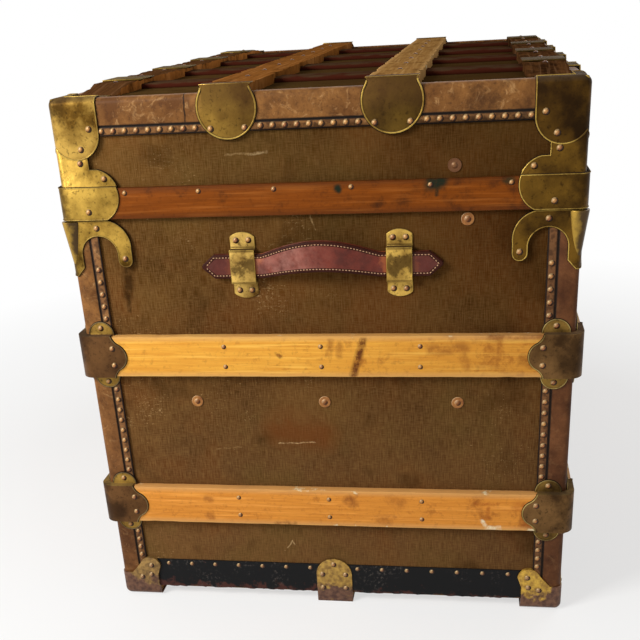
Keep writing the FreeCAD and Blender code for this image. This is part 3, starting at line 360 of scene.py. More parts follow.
# The uprights are painted redder and darker than the lid's strips, a painted shade, deepest at the hinge side
# and low down on the lock side
strip_foot = lid_top - lid_leg
upright = add(fibre_board, "MapRange", {0: xyz["Z"], 1: strip_foot, 2: strip_foot - 20 * mm, 4: 0.85})
lower = add(fibre_board, "MapRange", {0: xyz["Z"], 1: 0.42, 2: 0.15, 4: 0.55})
shaded = add(fibre_board, "MapRange", {0: xyz["Y"], 1: -0.1, 2: 0.2, 3: lower, 4: 0.95})
shaded = add(fibre_board, "Math", {0: upright, 1: shaded}, operation="MULTIPLY")
russet_in_shade = coat(fibre_board, "#40200d", "#643a22", mottle)
colour = coat(fibre_board, colour, russet_in_shade, shaded)
# A crack runs across the lid's strip from its top edge to the groove
crack_y = -121 * mm
wander = add(fibre_board, "Math", {0: mottle, 1: 2.5 * mm, 2: xyz["Y"]}, operation="MULTIPLY_ADD")
crack = away_from(fibre_board, wander, crack_y)
crack = add(fibre_board, "MapRange", {0: crack, 1: 0.3 * mm, 2: 1.0 * mm, 3: 0.95, 4: 0.0})
on_strip = add(fibre_board, "Math", {0: xyz["Z"], 1: lid_top - lid_groove}, operation="GREATER_THAN")
crack = add(fibre_board, "Math", {0: crack, 1: on_strip}, operation="MULTIPLY")
at_end = add(fibre_board, "Math", {0: xyz["X"], 1: 0.0}, operation="GREATER_THAN")
crack = add(fibre_board, "Math", {0: crack, 1: at_end}, operation="MULTIPLY")
colour = coat(fibre_board, colour, "#160b05", crack)
from_corner = corner_gap(fibre_board, xyz)
from_top = add(fibre_board, "Math", {0: lid_top, 1: xyz["Z"]}, operation="SUBTRACT")
# The nail strip between the groove and the edge is paler, and a dark line lies along each side of it, dirt
# and painted shade
for distance, lines in ((from_corner, (upright_groove, upright_leg)), (from_top, (lid_groove, lid_leg))):
    strip = away_from(fibre_board, distance, sum(lines) / 2)
    half = (lines[1] - lines[0]) / 2
    pale = add(fibre_board, "MapRange", {0: strip, 1: half - 2 * mm, 2: half, 3: 0.25, 4: 0.0})
    colour = coat(fibre_board, colour, "#a3764c", pale)
    # Dark specks of 4 mm between the nails, a painted shade
    nail_shade_speck = patches(fibre_board, place, (210, 3, 0.5), 0.46, 0.6, 0.0, 2.6)
    nail_shade_speck = add(fibre_board, "Math", {0: nail_shade_speck, 1: pale}, operation="MULTIPLY")
    colour = coat(fibre_board, colour, "#3a2110", nail_shade_speck)
    line = away_from(fibre_board, strip, half)
    # The dark line: dirt and painted shade in the groove and at the binding's edge
    colour = coat(fibre_board, colour, "#170d06", line, 2.1 * mm, 0.9 * mm)
relief = add(fibre_board, "Bump", {"Height": mottle, "Strength": 0.35, "Distance": 0.9 * mm})
shade(fibre_board, base_color=colour, roughness=0.55, specular_ior_level=0.15, normal=relief)
for node in ("case_corner_bindings", "lid_edge_bindings"):
    fit(node, "_pressed", 0.5 * mm, 2, fibre_board)

# Case slats: ash battens round the case, shellacked yellow and nailed through the canvas.
# Handling has rounded and dented their edges, and the finish has rubbed off there.


def wear_edges(piece, spacing, depth, seed, middle_of):
    """Cuts a piece across every so often, and wears its edges in towards a middle line, unevenly."""
    dent_length, nick_length, fibre_length = 1 / 38, 1 / 115, 1 / 260
    low, high = Vector((1, 1, 1)), Vector((-1, -1, -1))
    for vertex in piece.data.vertices:
        low = Vector(map(min, low, vertex.co))
        high = Vector(map(max, high, vertex.co))
    bpy.ops.object.mode_set(mode="EDIT")
    for axis in (0, 1):
        normal = Vector((axis == 0, axis == 1, 0))
        for step in range(1, int((high - low)[axis] / spacing)):
            bpy.ops.mesh.select_all(action="SELECT")
            bpy.ops.mesh.bisect(plane_co=low + normal * spacing * step, plane_no=normal)
    bpy.ops.object.mode_set(mode="OBJECT")
    for vertex in piece.data.vertices:
        inward = middle_of(vertex.co) - vertex.co
        run = vertex.co.x + vertex.co.y
        which = seed + 5 * math.copysign(1, inward.dot(Vector((1, 1, 1))))
        bite = max(0, noise.noise(Vector((run / dent_length, which, 0))))
        bite += 0.6 * max(0, noise.noise(Vector((run / nick_length, which, 3))))
        bite += 0.25 * noise.noise(vertex.co / fibre_length)
        vertex.co += inward.normalized() * max(0, bite) * depth
    piece.data.update()


def slat_wood(name, pale, deep, stain, stain_from, stain_to, across, edges, marks=(), face=0.0,
              reddened=0.0, gloss=0.12, edge_tone="#d3a468", chipped=0.9):
    """Shellacked wood: straight grain 3 mm wide along the slat, brown stains that grow from one Y to another,
    bare wood along the slat's two edges, given as coordinates, and single marks on an end."""
    wood = new_material(name)
    place, xyz = coordinates(wood)
    run = add(wood, "Math", {0: xyz["X"], 1: xyz["Y"] if across == "Z" else 0.0}, operation="ADD")
    fibre = add(wood, "CombineXYZ", {"X": run, "Y": xyz[across]})
    grain_place = add(wood, "Mapping", {"Vector": fibre, "Scale": (14, 300, 1)})
    grain = add(wood, "TexNoise", {"Vector": grain_place, "Scale": 1, "Detail": 6, "Roughness": 0.65,
                                   "Distortion": 0.4})
    grain = add(wood, "MapRange", {0: grain, 1: 0.28, 2: 0.74})
    colour = coat(wood, pale, deep, grain)
    pore_place = add(wood, "Mapping", {"Vector": fibre, "Scale": (60, 1300, 1)})
    colour = coat(wood, colour, stain, patches(wood, pore_place, (1, 2, 0.5), 0.6, 0.74, 0.0, 0.3))
    colour = coat(wood, colour, stain, patches(wood, place, (170, 6, 0.7), 0.54, 0.74, 0.0, 0.45))
    blotch = add(wood, "TexNoise", {"Vector": place, "Scale": 38, "Detail": 7, "Roughness": 0.65})
    darker = gather(wood, blotch, xyz["Y"], stain_from, stain_to, -0.12, 0.06)
    colour = coat(wood, colour, stain, darker, 0.52, 0.67, 0.8)
    # Pale streaks 3 mm wide and a hand long, where the shellac has thinned
    streaked = "#{:02x}{:02x}{:02x}".format(*[min(255, int(pale[i:i + 2], 16) + 24) for i in (1, 3, 5)])
    streak_place = add(wood, "Mapping", {"Vector": fibre, "Scale": (9, 240, 1), "Location": (3, 7, 0)})
    colour = coat(wood, colour, streaked, patches(wood, streak_place, (1, 4, 0.6), 0.53, 0.68, 0.0, 0.6))
    colour = coat(wood, colour, "#9c541a", xyz["Y"], stain_from, stain_to, reddened)
    for edge in edges:
        near = away_from(wood, xyz[across], edge)
        colour = coat(wood, colour, edge_tone, near, 7 * mm, 0.5 * mm, 0.6)
        chip = gather(wood, blotch, near, 1 * mm, 7 * mm, 0.06, -0.12)
        colour = coat(wood, colour, "#e9d6ab", chip, 0.66, 0.7, chipped)
    wandering = ragged(wood, 8 * mm, 5 * mm) if marks else None
    for stroke in marks:
        colour = mark(wood, wandering, colour, face, *stroke)
    relief = add(wood, "Bump", {"Height": grain, "Strength": 0.3, "Distance": 0.4 * mm})
    shade(wood, base_color=colour, roughness=0.45 if gloss else 0.9, specular_ior_level=gloss,
          normal=relief)
    return wood


# A burn slants across the upper slat; the lower one has lost its edge near the hinge side's clamp
upper_marks = (("#5c2a0e", 0.95, 5.5, (45, 328), (34, 291)),
               ("#8a4c1c", 0.55, 5, (11, 327), (8, 312)),
               ("#8a4c1c", 0.55, 5, (20, 324), (20, 311)),
               ("#6b3412", 0.8, 3, (-48, 314), (-43, 311)),
               ("#84441a", 0.6, 9, (116, 318), (148, 320)),
               ("#743812", 0.8, 9, (210, 307), (221, 303)),
               ("#9c5a20", 0.6, 7, (148, 309), (152, 299)),
               ("#9c5a20", 0.7, 5, (184, 327), (185, 308)),
               ("#743812", 0.6, 6, (176, 332), (226, 333)))
lower_marks = (("#efe2bd", 0.95, 2.6, (170, 119), (173.5, 113)),
               ("#efe2bd", 0.95, 3.2, (176, 109.5), (189, 110)),
               ("#a5561c", 0.7, 2.4, (163, 139), (188, 140)),
               ("#a5561c", 0.7, 2.6, (177, 135), (176, 121)),
               ("#743818", 0.8, 8, (22, 141), (27, 136)),
               ("#8a4a1c", 0.5, 9, (70, 141), (82, 138)),
               ("#8a4a1c", 0.5, 9, (58, 117), (66, 116)),
               ("#8a4a1c", 0.6, 6, (-142, 138), (-138, 137)),
               ("#8a4a1c", 0.6, 6, (-142, 116), (-138, 115)),
               ("#6b3412", 0.6, 5, (-62, 108), (-42, 108)),
               ("#b25c1c", 0.6, 8, (208, 138), (226, 136)))
for node, name, pale, deep, stained_from, stained_to, marks, reddened, seed in (
        ("case_upper_slats", "shellacked_ash_yellow", "#f0b044", "#d88f30", -0.02, 0.2,
         upper_marks, 0.35, 1),
        ("case_lower_slats", "shellacked_ash_orange", "#e2953a", "#c67a2a", -0.05, 0.3,
         lower_marks, 0.0, 2)):
    low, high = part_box(node)
    wood = slat_wood(name, pale, deep, "#8a4616", stained_from, stained_to, "Z", (low.z, high.z),
                     marks, high.x, reddened)
    slats = copy_of(node, node + "_worn", wood)
    middle = (low.z + high.z) / 2
    wear_edges(slats, 10 * mm, 0.8 * mm, seed, lambda co: Vector((co.x, co.y, middle)))
    round_edges(slats, 2.2 * mm, 3)
    settle(slats, node)

# Lid rim slats: a thinner ash batten round the lid's lower edge, stained deep orange and varnished.
# It closes on the case's rim and carries the hasp and the catches.
low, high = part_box("lid_rim_slats")
rim_marks = (("#1b2012", 1.0, 9, (115, 484), (125, 486)),
             ("#1b2012", 1.0, 7, (116, 486), (122, 485)),
             ("#23200f", 0.8, 2.5, (121, 480), (121, 474)),
             ("#1b2012", 1.0, 5, (25, 482.5), (26, 482)),
             ("#1b2012", 1.0, 4, (25.5, 483), (25.5, 482)),
             ("#2f2a14", 0.8, 5, (187, 486), (192, 486)))
rim_ash = slat_wood("varnished_ash_russet", "#8a460b", "#6b3405", "#3a1b05", -0.3, 0.3, "Z",
                    (low.z, high.z), rim_marks, high.x, gloss=0.1, edge_tone="#4a240a", chipped=0.0)
rim_slats = copy_of("lid_rim_slats", "lid_rim_slats_worn", rim_ash)
middle = (low.z + high.z) / 2
wear_edges(rim_slats, 12 * mm, 0.6 * mm, 3, lambda co: Vector((co.x, co.y, middle)))
round_edges(rim_slats, 0.8 * mm)
settle(rim_slats, "lid_rim_slats")

# Cross bands: four oak strips over the lid's top, painted maroon, with dust on their flats.
# The lengthwise slats are notched over them.
maroon = new_material("dusty_maroon_paint")
where = add(maroon, "TexCoord", {}, out=None)
facing = add(maroon, "SeparateXYZ", {0: where["Normal"]}, out="Z")
speckle = add(maroon, "TexNoise", {"Vector": where["Object"], "Scale": 45, "Detail": 6})
settled = add(maroon, "Math", {0: facing, 1: speckle}, operation="MULTIPLY")
colour = coat(maroon, "#451e13", "#4c3b28", settled, 0.3, 0.55, 0.8)
shade(maroon, base_color=colour, roughness=0.8, specular_ior_level=0.0)
fit("lid_cross_bands", "_painted", 1 * mm, 2, maroon)

# Top slats: lengthwise oak battens over the cross bands. Years of stacked luggage have splintered them:
# the middle one nearer the hinges is bare and pale, the other orange, and the outer ones are dark with dirt.
middle_slat_half, edge_slat_half = 25 * mm, 21 * mm
middle_slat_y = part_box("lid_middle_slats")[1].y - middle_slat_half
edge_slat_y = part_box("lid_edge_slats")[1].y - edge_slat_half
slat_edges = (middle_slat_y - middle_slat_half, middle_slat_y + middle_slat_half)
orange_oak = slat_wood("orange_oak", "#a0662f", "#74451c", "#41240e", 0.3, -0.3, "Y", (), gloss=0.0)
pale_oak = slat_wood("splintered_oak", "#b0844a", "#8c6030", "#5c3a1a", -0.3, 0.3, "Y",
                     slat_edges, gloss=0.0)
# The outer slat at the lock side has lighter flanks, a painted light on faces that the lamps leave in shade
lit_flank_oak = slat_wood("lit_flank_oak", "#c47d3c", "#8c5424", "#41240e", 0.3, -0.3, "Y", (), gloss=0.0)
dark_oak = slat_wood("dirty_oak", "#684324", "#412714", "#221208", -0.1, 0.1, "Y", (), gloss=0.0)
for node, woods, line_y, depth, seed in (
        ("lid_middle_slats", (orange_oak, pale_oak), middle_slat_y, 7 * mm, 4),
        ("lid_edge_slats", (dark_oak, lit_flank_oak), edge_slat_y, 4 * mm, 9)):
    battens = copy_of(node, node + "_splintered", *woods)
    wear_edges(battens, 6 * mm, depth, seed, lambda co: Vector((co.x, math.copysign(line_y, co.y), co.z)))
    low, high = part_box(node)
    if node == "lid_edge_slats":
        # Their ends are trodden down
        trodden_run = 45 * mm
        for vertex in battens.data.vertices:
            left = min(1, (high.x - abs(vertex.co.x)) / trodden_run)
            trodden = 0.35 * max(0, noise.noise(Vector((vertex.co.x * 60, vertex.co.y * 200, 8))))
            vertex.co.z = low.z + (vertex.co.z - low.z) * (0.2 + 0.8 * left) * (1 - trodden)
        battens.data.update()
    round_edges(battens, 0.8 * mm)
    # The flanks of the lock side's outer slat take the lighter wood, a painted light
    for face in battens.data.polygons:
        flank = abs(face.normal.y) > 0.5 and face.center.y < 0
        face.material_index = int(face.center.y > 0 if node == "lid_middle_slats" else flank)
    settle(battens, node)

# Stamped brass corners: sheet pressed in dies with a rolled rim, bent round the corner and riveted.
# They are tarnished olive and brown and rubbed yellow on their rims; towards the hinges the plates are
# painted darker, a painted shade, and the rims brighter, a painted highlight.


def looks_out(middle, normal):
    """True for a face on the outside of a corner plate, and not for its rim or its back."""
    on_end = normal.x * math.copysign(1, middle.x) > 0.5 and abs(middle.x) > canvas_end
    on_side = normal.y * math.copysign(1, middle.y) > 0.5 and abs(middle.y) > canvas_side
    on_top = normal.z > 0.5 and middle.z > lid_top
    return on_end or on_side or on_top


def roll_rim(plate, rim, radius, ceiling, straight=()):
    """Beads along the outline of a plate's outer faces, up to a height and not along given straight levels,
    and dark strips beside them, grime and a painted shadow at the plate's foot. They are joined to the plate
    after its edges are rounded."""
    outer = {}
    for face in plate.data.polygons:
        for key in face.edge_keys:
            outer.setdefault(key, []).append(looks_out(face.center, face.normal))
    strands = []
    shadow_grime_radius, shadow_grime_sunk = 1.9 * radius, 1.3 * mm
    for material, thickness, sunk in ((rim, radius, 0), (grime_and_painted_shadow, shadow_grime_radius, shadow_grime_sunk)):
        strand = placed("strand", plate.data.copy())
        hold(strand)
        bpy.ops.object.mode_set(mode="EDIT")
        bpy.ops.mesh.select_mode(type="EDGE")
        bpy.ops.mesh.select_all(action="DESELECT")
        bpy.ops.object.mode_set(mode="OBJECT")
        for edge in strand.data.edges:
            heights = [strand.data.vertices[v].co.z for v in edge.vertices]
            level = any(max(abs(h - z) for h in heights) < 0.5 * mm for z in straight)
            edge.select = len(set(outer[edge.key])) == 1 or sum(heights) / 2 > ceiling or level
        bpy.ops.object.mode_set(mode="EDIT")
        bpy.ops.mesh.delete(type="EDGE")
        bpy.ops.object.mode_set(mode="OBJECT")
        bpy.ops.object.convert(target="CURVE")
        strand.data.bevel_depth = thickness
        strand.data.bevel_resolution = 3
        bpy.ops.object.convert(target="MESH")
        strand = bpy.context.object
        for vertex in strand.data.vertices:
            co = vertex.co
            deep = Vector((math.copysign(sunk, co.x) if abs(co.x) > canvas_end else 0,
                           math.copysign(sunk, co.y) if abs(co.y) > canvas_side else 0,
                           sunk if co.z > lid_top else 0))
            vertex.co = co - deep
        strand.data.materials.clear()
        strand.data.materials.append(material)
        strands.append(strand)
    return strands


def join_to(piece, parts):
    """Joins parts to a piece, which keeps its own name."""
    hold(piece)
    for part in parts:
        part.select_set(True)
    bpy.ops.object.join()


def colour_so_far(material):
    """What feeds a finished material's colour, for one more coat."""
    return material.node_tree.nodes["Principled BSDF"].inputs["Base Color"].links[0].from_socket


def tarnished_with_painted_light(name, bright, dull, far_bright, far_dull, dark, gloss, bright_below=1.0):
    """Sheet brass under a patchy film, from one pair of colours at the lock side to another at the hinges:
    the hinge side's pair is painted light, a painted shade on plates and a painted highlight on rims.
    Below a given height hands have kept it brighter; flat tops are grey with dust and corners brown."""
    metal = new_material(name)
    where = add(metal, "TexCoord", {}, out=None)
    place = where["Object"]
    xyz = add(metal, "SeparateXYZ", {0: place}, out=None)
    film = add(metal, "TexNoise", {"Vector": place, "Scale": 26, "Detail": 8, "Roughness": 0.6})
    film = gather(metal, film, xyz["Z"], bright_below - 20 * mm, bright_below + 30 * mm, 0.0, 0.1)
    thin = add(metal, "MapRange", {0: film, 1: 0.38, 2: 0.66})
    near = coat(metal, bright, dull, thin)
    far = coat(metal, far_bright, far_dull, thin)
    hingeward = add(metal, "MapRange", {0: xyz["Y"], 1: -0.22, 2: 0.14})
    colour = coat(metal, near, far, hingeward)
    brown = gather(metal, film, corner_gap(metal, xyz), 18 * mm, 0.0, -0.1, 0.12)
    colour = coat(metal, colour, dark, brown, 0.54, 0.66, 0.55)
    facing = add(metal, "SeparateXYZ", {0: where["Normal"]}, out="Z")
    greyed = add(metal, "MapRange", {0: facing, 1: 0.3, 2: 0.8, 4: 0.5})
    colour = coat(metal, colour, "#4c3c2a", greyed)
    colour = coat(metal, colour, dark, patches(metal, place, (230, 5, 0.72), 0.55, 0.68, 0.0, 0.7))
    dent = add(metal, "TexNoise", {"Vector": place, "Scale": 55, "Detail": 4})
    relief = add(metal, "Bump", {"Height": dent, "Strength": 0.5, "Distance": 2 * mm})
    rough = add(metal, "MapRange", {0: film, 1: 0.3, 2: 0.7, 3: gloss, 4: gloss + 0.25})
    rough = add(metal, "Math", {0: greyed, 1: 0.8, 2: rough}, operation="MULTIPLY_ADD", use_clamp=True)
    bare = add(metal, "Math", {0: greyed, 1: -0.9, 2: 0.6}, operation="MULTIPLY_ADD")
    shade(metal, base_color=colour, roughness=rough, metallic=bare, specular_ior_level=0.1, normal=relief)
    return metal


def two_toned(name, tone, other, scale, detail, **sockets):
    """A material whose two tones run into each other in specks of a given scale."""
    material = new_material(name)
    place = add(material, "TexCoord", {}, out="Object")
    specks = add(material, "TexNoise", {"Vector": place, "Scale": scale, "Detail": detail})
    shade(material, base_color=coat(material, tone, other, specks), **sockets)
    return material


# Dark strips at the foot of the brass plates: grime and a painted shadow
grime_and_painted_shadow = two_toned("packed_grime_and_painted_shadow", "#0d0805", "#2a1a0e", 160, 4, roughness=0.85, specular_ior_level=0.1)
brass = tarnished_with_painted_light("tarnished_sheet_brass", "#d4aa52", "#694a16", "#5a3e11", "#2e1c06", "#221404", 0.28,
                  lid_top - 30 * mm)
plate_brass = tarnished_with_painted_light("handled_sheet_brass", "#cfa64a", "#5c400e", "#6d4e17", "#382408", "#281804", 0.28)
# Rims: rubbed yellow, and painted brighter towards the hinges, a painted highlight
rubbed_and_highlit_brass = tarnished_with_painted_light("rubbed_highlit_brass_rim", "#bb9c4c", "#745826", "#c8a650", "#785a22", "#402c10", 0.25)
shield_brass = tarnished_with_painted_light("dulled_shield_brass", "#b28a3c", "#735220", "#50390f", "#30200a", "#2a1a06", 0.32)
olive_brass = tarnished_with_painted_light("olive_brass", "#7a6229", "#544119", "#57421a", "#36280d", "#221607", 0.36)
# Luggage slid over the shields' upper halves and browned them
place = ragged(shield_brass, 20 * mm, 12 * mm)
height = add(shield_brass, "SeparateXYZ", {0: place}, out="Z")
colour = coat(shield_brass, colour_so_far(shield_brass), "#50351c", height, lid_top - 26 * mm,
              lid_top - 4 * mm, 0.6)
shade(shield_brass, base_color=colour)
# The spurs' flanks that face the lock are painted light and the others dark, a painted highlight and shade,
# and a painted shadow fills the crease beside them
spur_brass = new_material("spur_brass_painted_light_and_shade")
where = add(spur_brass, "TexCoord", {}, out=None)
flank = add(spur_brass, "SeparateXYZ", {0: where["Normal"]}, out="Y")
pit = add(spur_brass, "TexNoise", {"Vector": where["Object"], "Scale": 150, "Detail": 5})
turned_from_light = add(spur_brass, "Math", {0: pit, 1: 1.6, 2: flank}, operation="MULTIPLY_ADD")
turned_from_light = add(spur_brass, "MapRange", {0: turned_from_light, 1: 0.4, 2: 1.15})
crease = add(spur_brass, "MapRange", {0: flank, 1: -0.84, 2: -0.74, 3: 1.0, 4: 0.0})
turned_from_light = add(spur_brass, "Math", {0: turned_from_light, 1: crease}, operation="MAXIMUM")
colour = coat(spur_brass, "#a88430", "#4a3514", turned_from_light)
shade(spur_brass, base_color=colour, roughness=0.35, metallic=0.6)
slat_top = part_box("lid_middle_slats")[1].z
for node, metal, bead in (("lid_top_corner_caps", brass, 0.7 * mm),
                          ("lid_rim_corner_plates", plate_brass, 0.6 * mm),
                          ("case_rim_corner_horns", plate_brass, 0.6 * mm),
                          ("lid_shield_clamps", shield_brass, 0.9 * mm),
                          ("lid_band_clamps", olive_brass, 0.7 * mm)):
    plate = copy_of(node, node + "_stamped", metal, rubbed_and_highlit_brass)
    strands = roll_rim(plate, rubbed_and_highlit_brass, bead, slat_top - 1.5 * mm)
    if node == "case_rim_corner_horns":
        # A hollow spur is raised along each corner, 15 mm wide under the rim and running out to a point
        spur_top, spur_tip, spur_inset = 456 * mm, 411 * mm, 4 * mm
        tip_radius, top_radius = 4.4 * mm, 10.4 * mm
        for sign_x in (1, -1):
            for sign_y in (1, -1):
                at = (sign_x * (end - spur_inset), sign_y * (side - spur_inset), (spur_top + spur_tip) / 2)
                bpy.ops.object.select_all(action="DESELECT")
                bpy.ops.mesh.primitive_cone_add(vertices=48, radius1=tip_radius, radius2=top_radius,
                                                depth=spur_top - spur_tip, location=at)
                spur = bpy.context.object
                spur.data.materials.append(spur_brass)
                round_edges(spur, 1 * mm)
                bpy.ops.object.transform_apply()
                strands.append(spur)
    hold(plate)
    round_edges(plate, 0.45 * mm)
    join_to(plate, strands)
    settle(plate, node)

# Slat corner clamps: the same sheet pressed into boxes over the slats' corners, with nail tabs.
# Their faces were bronzed dark brown; the film has worn through on the rims and the tabs. Towards the hinges
# the rims are painted brighter, a painted highlight, and the tabs darker, a painted shade.
bronze = tarnished_with_painted_light("bronzed_brass", "#6c4a2a", "#4c321c", "#755531", "#4a3319", "#2a1a0c", 0.38)
worn_and_highlit_bronze = tarnished_with_painted_light("worn_highlit_bronze_rim", "#86734c", "#54432a", "#b39a5a", "#56431f", "#261b10", 0.3)
tab_brass = tarnished_with_painted_light("worn_tab_brass", "#a8843c", "#6a4c1c", "#8a6a30", "#4a3414", "#2a1a0a", 0.32)
sheet = 1.2 * mm
for node, slats in (("upper_slat_corner_clamps", "case_upper_slats"),
                    ("lower_slat_corner_clamps", "case_lower_slats")):
    low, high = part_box(slats)
    clamp = copy_of(node, node + "_stamped", bronze, worn_and_highlit_bronze, tab_brass)
    levels = (low.z - sheet, low.z, high.z, high.z + sheet)
    strands = roll_rim(clamp, worn_and_highlit_bronze, 0.6 * mm, lid_top, levels)
    hold(clamp)
    round_edges(clamp, 0.55 * mm)
    for face in clamp.data.polygons:
        if not low.z - sheet < face.center.z < high.z + sheet:
            face.material_index = 2
        elif face.material_index == 2:
            face.material_index = 1
    join_to(clamp, strands)
    settle(clamp, node)

# Bottom irons and skid clamps: pressed sheet iron, gilded with bronze paint that has worn back to brown rust.
# Five nails hold each one; the trunk stands on their soles.
gilt = new_material("worn_gilt_on_iron")
place, xyz = coordinates(gilt)
worn = add(gilt, "TexNoise", {"Vector": place, "Scale": 60, "Detail": 7, "Roughness": 0.68})
worn = gather(gilt, worn, xyz["Z"], 0.010, 0.036, 0.22, -0.13)
# Paint goes first within 16 mm of a corner, where the iron scrapes along walls
worn = gather(gilt, worn, corner_gap(gilt, xyz), 16 * mm, 2 * mm, 0.0, 0.25)
worn = add(gilt, "MapRange", {0: worn, 1: 0.5, 2: 0.62})
rust = patches(gilt, place, (210, 5, 0.5), 0.35, 0.65)
brown = coat(gilt, "#4a2c20", "#74503a", rust)
gold = coat(gilt, "#6a4e26", "#a07c42", rust)
bright = coat(gilt, "#97702a", "#d4a940", rust)
hingeward = add(gilt, "MapRange", {0: xyz["Y"], 1: -0.15, 2: 0.2})
gold = coat(gilt, gold, bright, hingeward)
colour = coat(gilt, gold, brown, worn)
relief = add(gilt, "Bump", {"Height": worn, "Strength": 0.5, "Distance": -0.4 * mm})
shade(gilt, base_color=colour, roughness=0.48, metallic=0.35, normal=relief)
for node in ("bottom_corner_irons", "skid_end_clamps"):
    fit(node, "_pressed", 0.6 * mm, 2, gilt)

# Bottom band: sheet iron round the foot of the case, japanned black, nailed along its upper edge.
# Scraping has chipped the lower edge back to red primer and torn it.
japan = new_material("chipped_black_japan")
place, xyz = coordinates(japan)
chip = add(japan, "TexNoise", {"Vector": place, "Scale": 75, "Detail": 8, "Roughness": 0.7})
chip = gather(japan, chip, xyz["Z"], 0.013, 0.03, 0.14, -0.12)
chip = gather(japan, chip, xyz["Y"], 0.0, -0.25, -0.02, 0.05)
colour = coat(japan, "#0e0e0f", "#46261f", chip, 0.57, 0.65)
scrape = patches(japan, place, (260, 4, 0.7), 0.55, 0.7, 0.0, 0.8)
dragged = patches(japan, place, (28, 3, 0.5), 0.5, 0.64)
scrape = add(japan, "Math", {0: scrape, 1: dragged}, operation="MULTIPLY")
colour = coat(japan, colour, "#5f5751", scrape)
shade(japan, base_color=colour, roughness=0.45, specular_ior_level=0.15)
band = copy_of("bottom_band", "bottom_band_chipped", japan)
band_top, torn_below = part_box("bottom_band")[1].z, 30 * mm
wear_edges(band, 4 * mm, 6 * mm, 6, lambda co: Vector((co.x, co.y, band_top)) if co.z < torn_below else co)
settle(band, "bottom_band")

# Skids: runners nailed under the floor, sawn from the same wood as the boards.
# The corner irons and the skid clamps hold their ends.
dress(basswood, "bottom_skids")

# Handle loops: thick brass stampings, bent over the strap and riveted through the end board.
# The strap and hands keep their ridges bright, their feet are painted dark, a painted shade, and grime lies
# over their middles.
loop_brass = tarnished_with_painted_light("rubbed_loop_brass", "#e8bf6a", "#5e4016", "#deb454", "#68481a", "#301d07", 0.26)
low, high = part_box("handle_loops")
steps_from_middle = 17.5 * mm
colour = colour_so_far(loop_brass)
place = add(loop_brass, "TexCoord", {}, out="Object")
height = add(loop_brass, "SeparateXYZ", {0: place}, out="Z")
height = away_from(loop_brass, height, (low.z + high.z) / 2)
step = away_from(loop_brass, height, steps_from_middle)
# Painted shade along the bends, 17.5 mm either side of the middle
step = add(loop_brass, "MapRange", {0: step, 1: 0.8 * mm, 2: 3 * mm, 3: 0.85, 4: 0.0})
smear = add(loop_brass, "TexNoise", {"Vector": place, "Scale": 90, "Detail": 6, "Roughness": 0.7})
smear = gather(loop_brass, smear, height, 5 * mm, 16 * mm, 0.14, -0.06)
smear = add(loop_brass, "MapRange", {0: smear, 1: 0.5, 2: 0.64, 4: 0.75})
grime_and_bend_shade = add(loop_brass, "Math", {0: step, 1: smear}, operation="MAXIMUM")
colour = coat(loop_brass, colour, "#3f2a10", grime_and_bend_shade)
shade(loop_brass, base_color=colour)
fit("handle_loops", "_stamped", 0.7 * mm, 3, loop_brass, rubbed_and_highlit_brass)

# End handles: two plies of bridle leather, stitched together all round, swelled in the middle for the hand.
# The straps slide a little in their loops, which lets the middle rise.
leather = new_material("maroon_bridle_leather")
place, xyz = coordinates(leather)
hide = add(leather, "TexNoise", {"Vector": place, "Scale": 48, "Detail": 7, "Roughness": 0.64})
colour = coat(leather, "#501a0f", "#7a3020", hide, 0.36, 0.64)
# The loops have rubbed the dye to tan for about 10 mm on each side of them
loop_half_gap, loop_middle = 80 * mm, 4 * mm
reach = away_from(leather, xyz["Y"], loop_middle)
aside = away_from(leather, reach, loop_half_gap)
tan = gather(leather, hide, aside, 13 * mm, 26 * mm, 0.2, -0.15)
colour = coat(leather, colour, "#a0552a", tan, 0.5, 0.66, 0.85)
# The tips outside the loops have kept their dark dye
colour = coat(leather, colour, "#4a1a12", reach, loop_half_gap, loop_half_gap + 8 * mm, 0.7)
# A pink painted sheen over patches of the grain, strongest just to the lock side of the middle
lightened = patches(leather, place, (90, 8, 0.7), 0.36, 0.64, 0.15, 1.0)
sheen_spread = away_from(leather, xyz["Y"], -30 * mm)
sheen_spread = add(leather, "MapRange", {0: sheen_spread, 1: 8 * mm, 2: 52 * mm, 3: 0.46, 4: 0.05})
lightened = add(leather, "Math", {0: lightened, 1: sheen_spread}, operation="MULTIPLY")
colour = coat(leather, colour, "#c28878", lightened)
pebble = add(leather, "TexVoronoi", {"Vector": place, "Scale": 900})
relief = add(leather, "Bump", {"Height": pebble, "Strength": 0.25, "Distance": 0.3 * mm})
shade(leather, base_color=colour, roughness=0.36, specular_ior_level=0.25, normal=relief)
edge_dye = two_toned("dyed_leather_edge", "#220d07", "#472016", 160, 4, roughness=0.5,
                     specular_ior_level=0.1)
thread_white = two_toned("waxed_linen_thread", "#ac7650", "#dcb690", 500, 2, roughness=0.7,
                         specular_ior_level=0.2)


def pick_faces(piece, wanted):
    """Selects the faces that pass a test, and leaves the piece open in edit mode."""
    bpy.ops.object.mode_set(mode="EDIT")
    bpy.ops.mesh.select_mode(type="FACE")
    bpy.ops.mesh.select_all(action="DESELECT")
    bpy.ops.object.mode_set(mode="OBJECT")
    for face in piece.data.polygons:
        face.select = wanted(face)
    bpy.ops.object.mode_set(mode="EDIT")


stitch_pitch, stitch_length, stitch_inset, stitch_radius = 3.3 * mm, 1.9 * mm, 3.2 * mm, 0.5 * mm
lane_from, lane_width = 2.0 * mm, 2.4 * mm
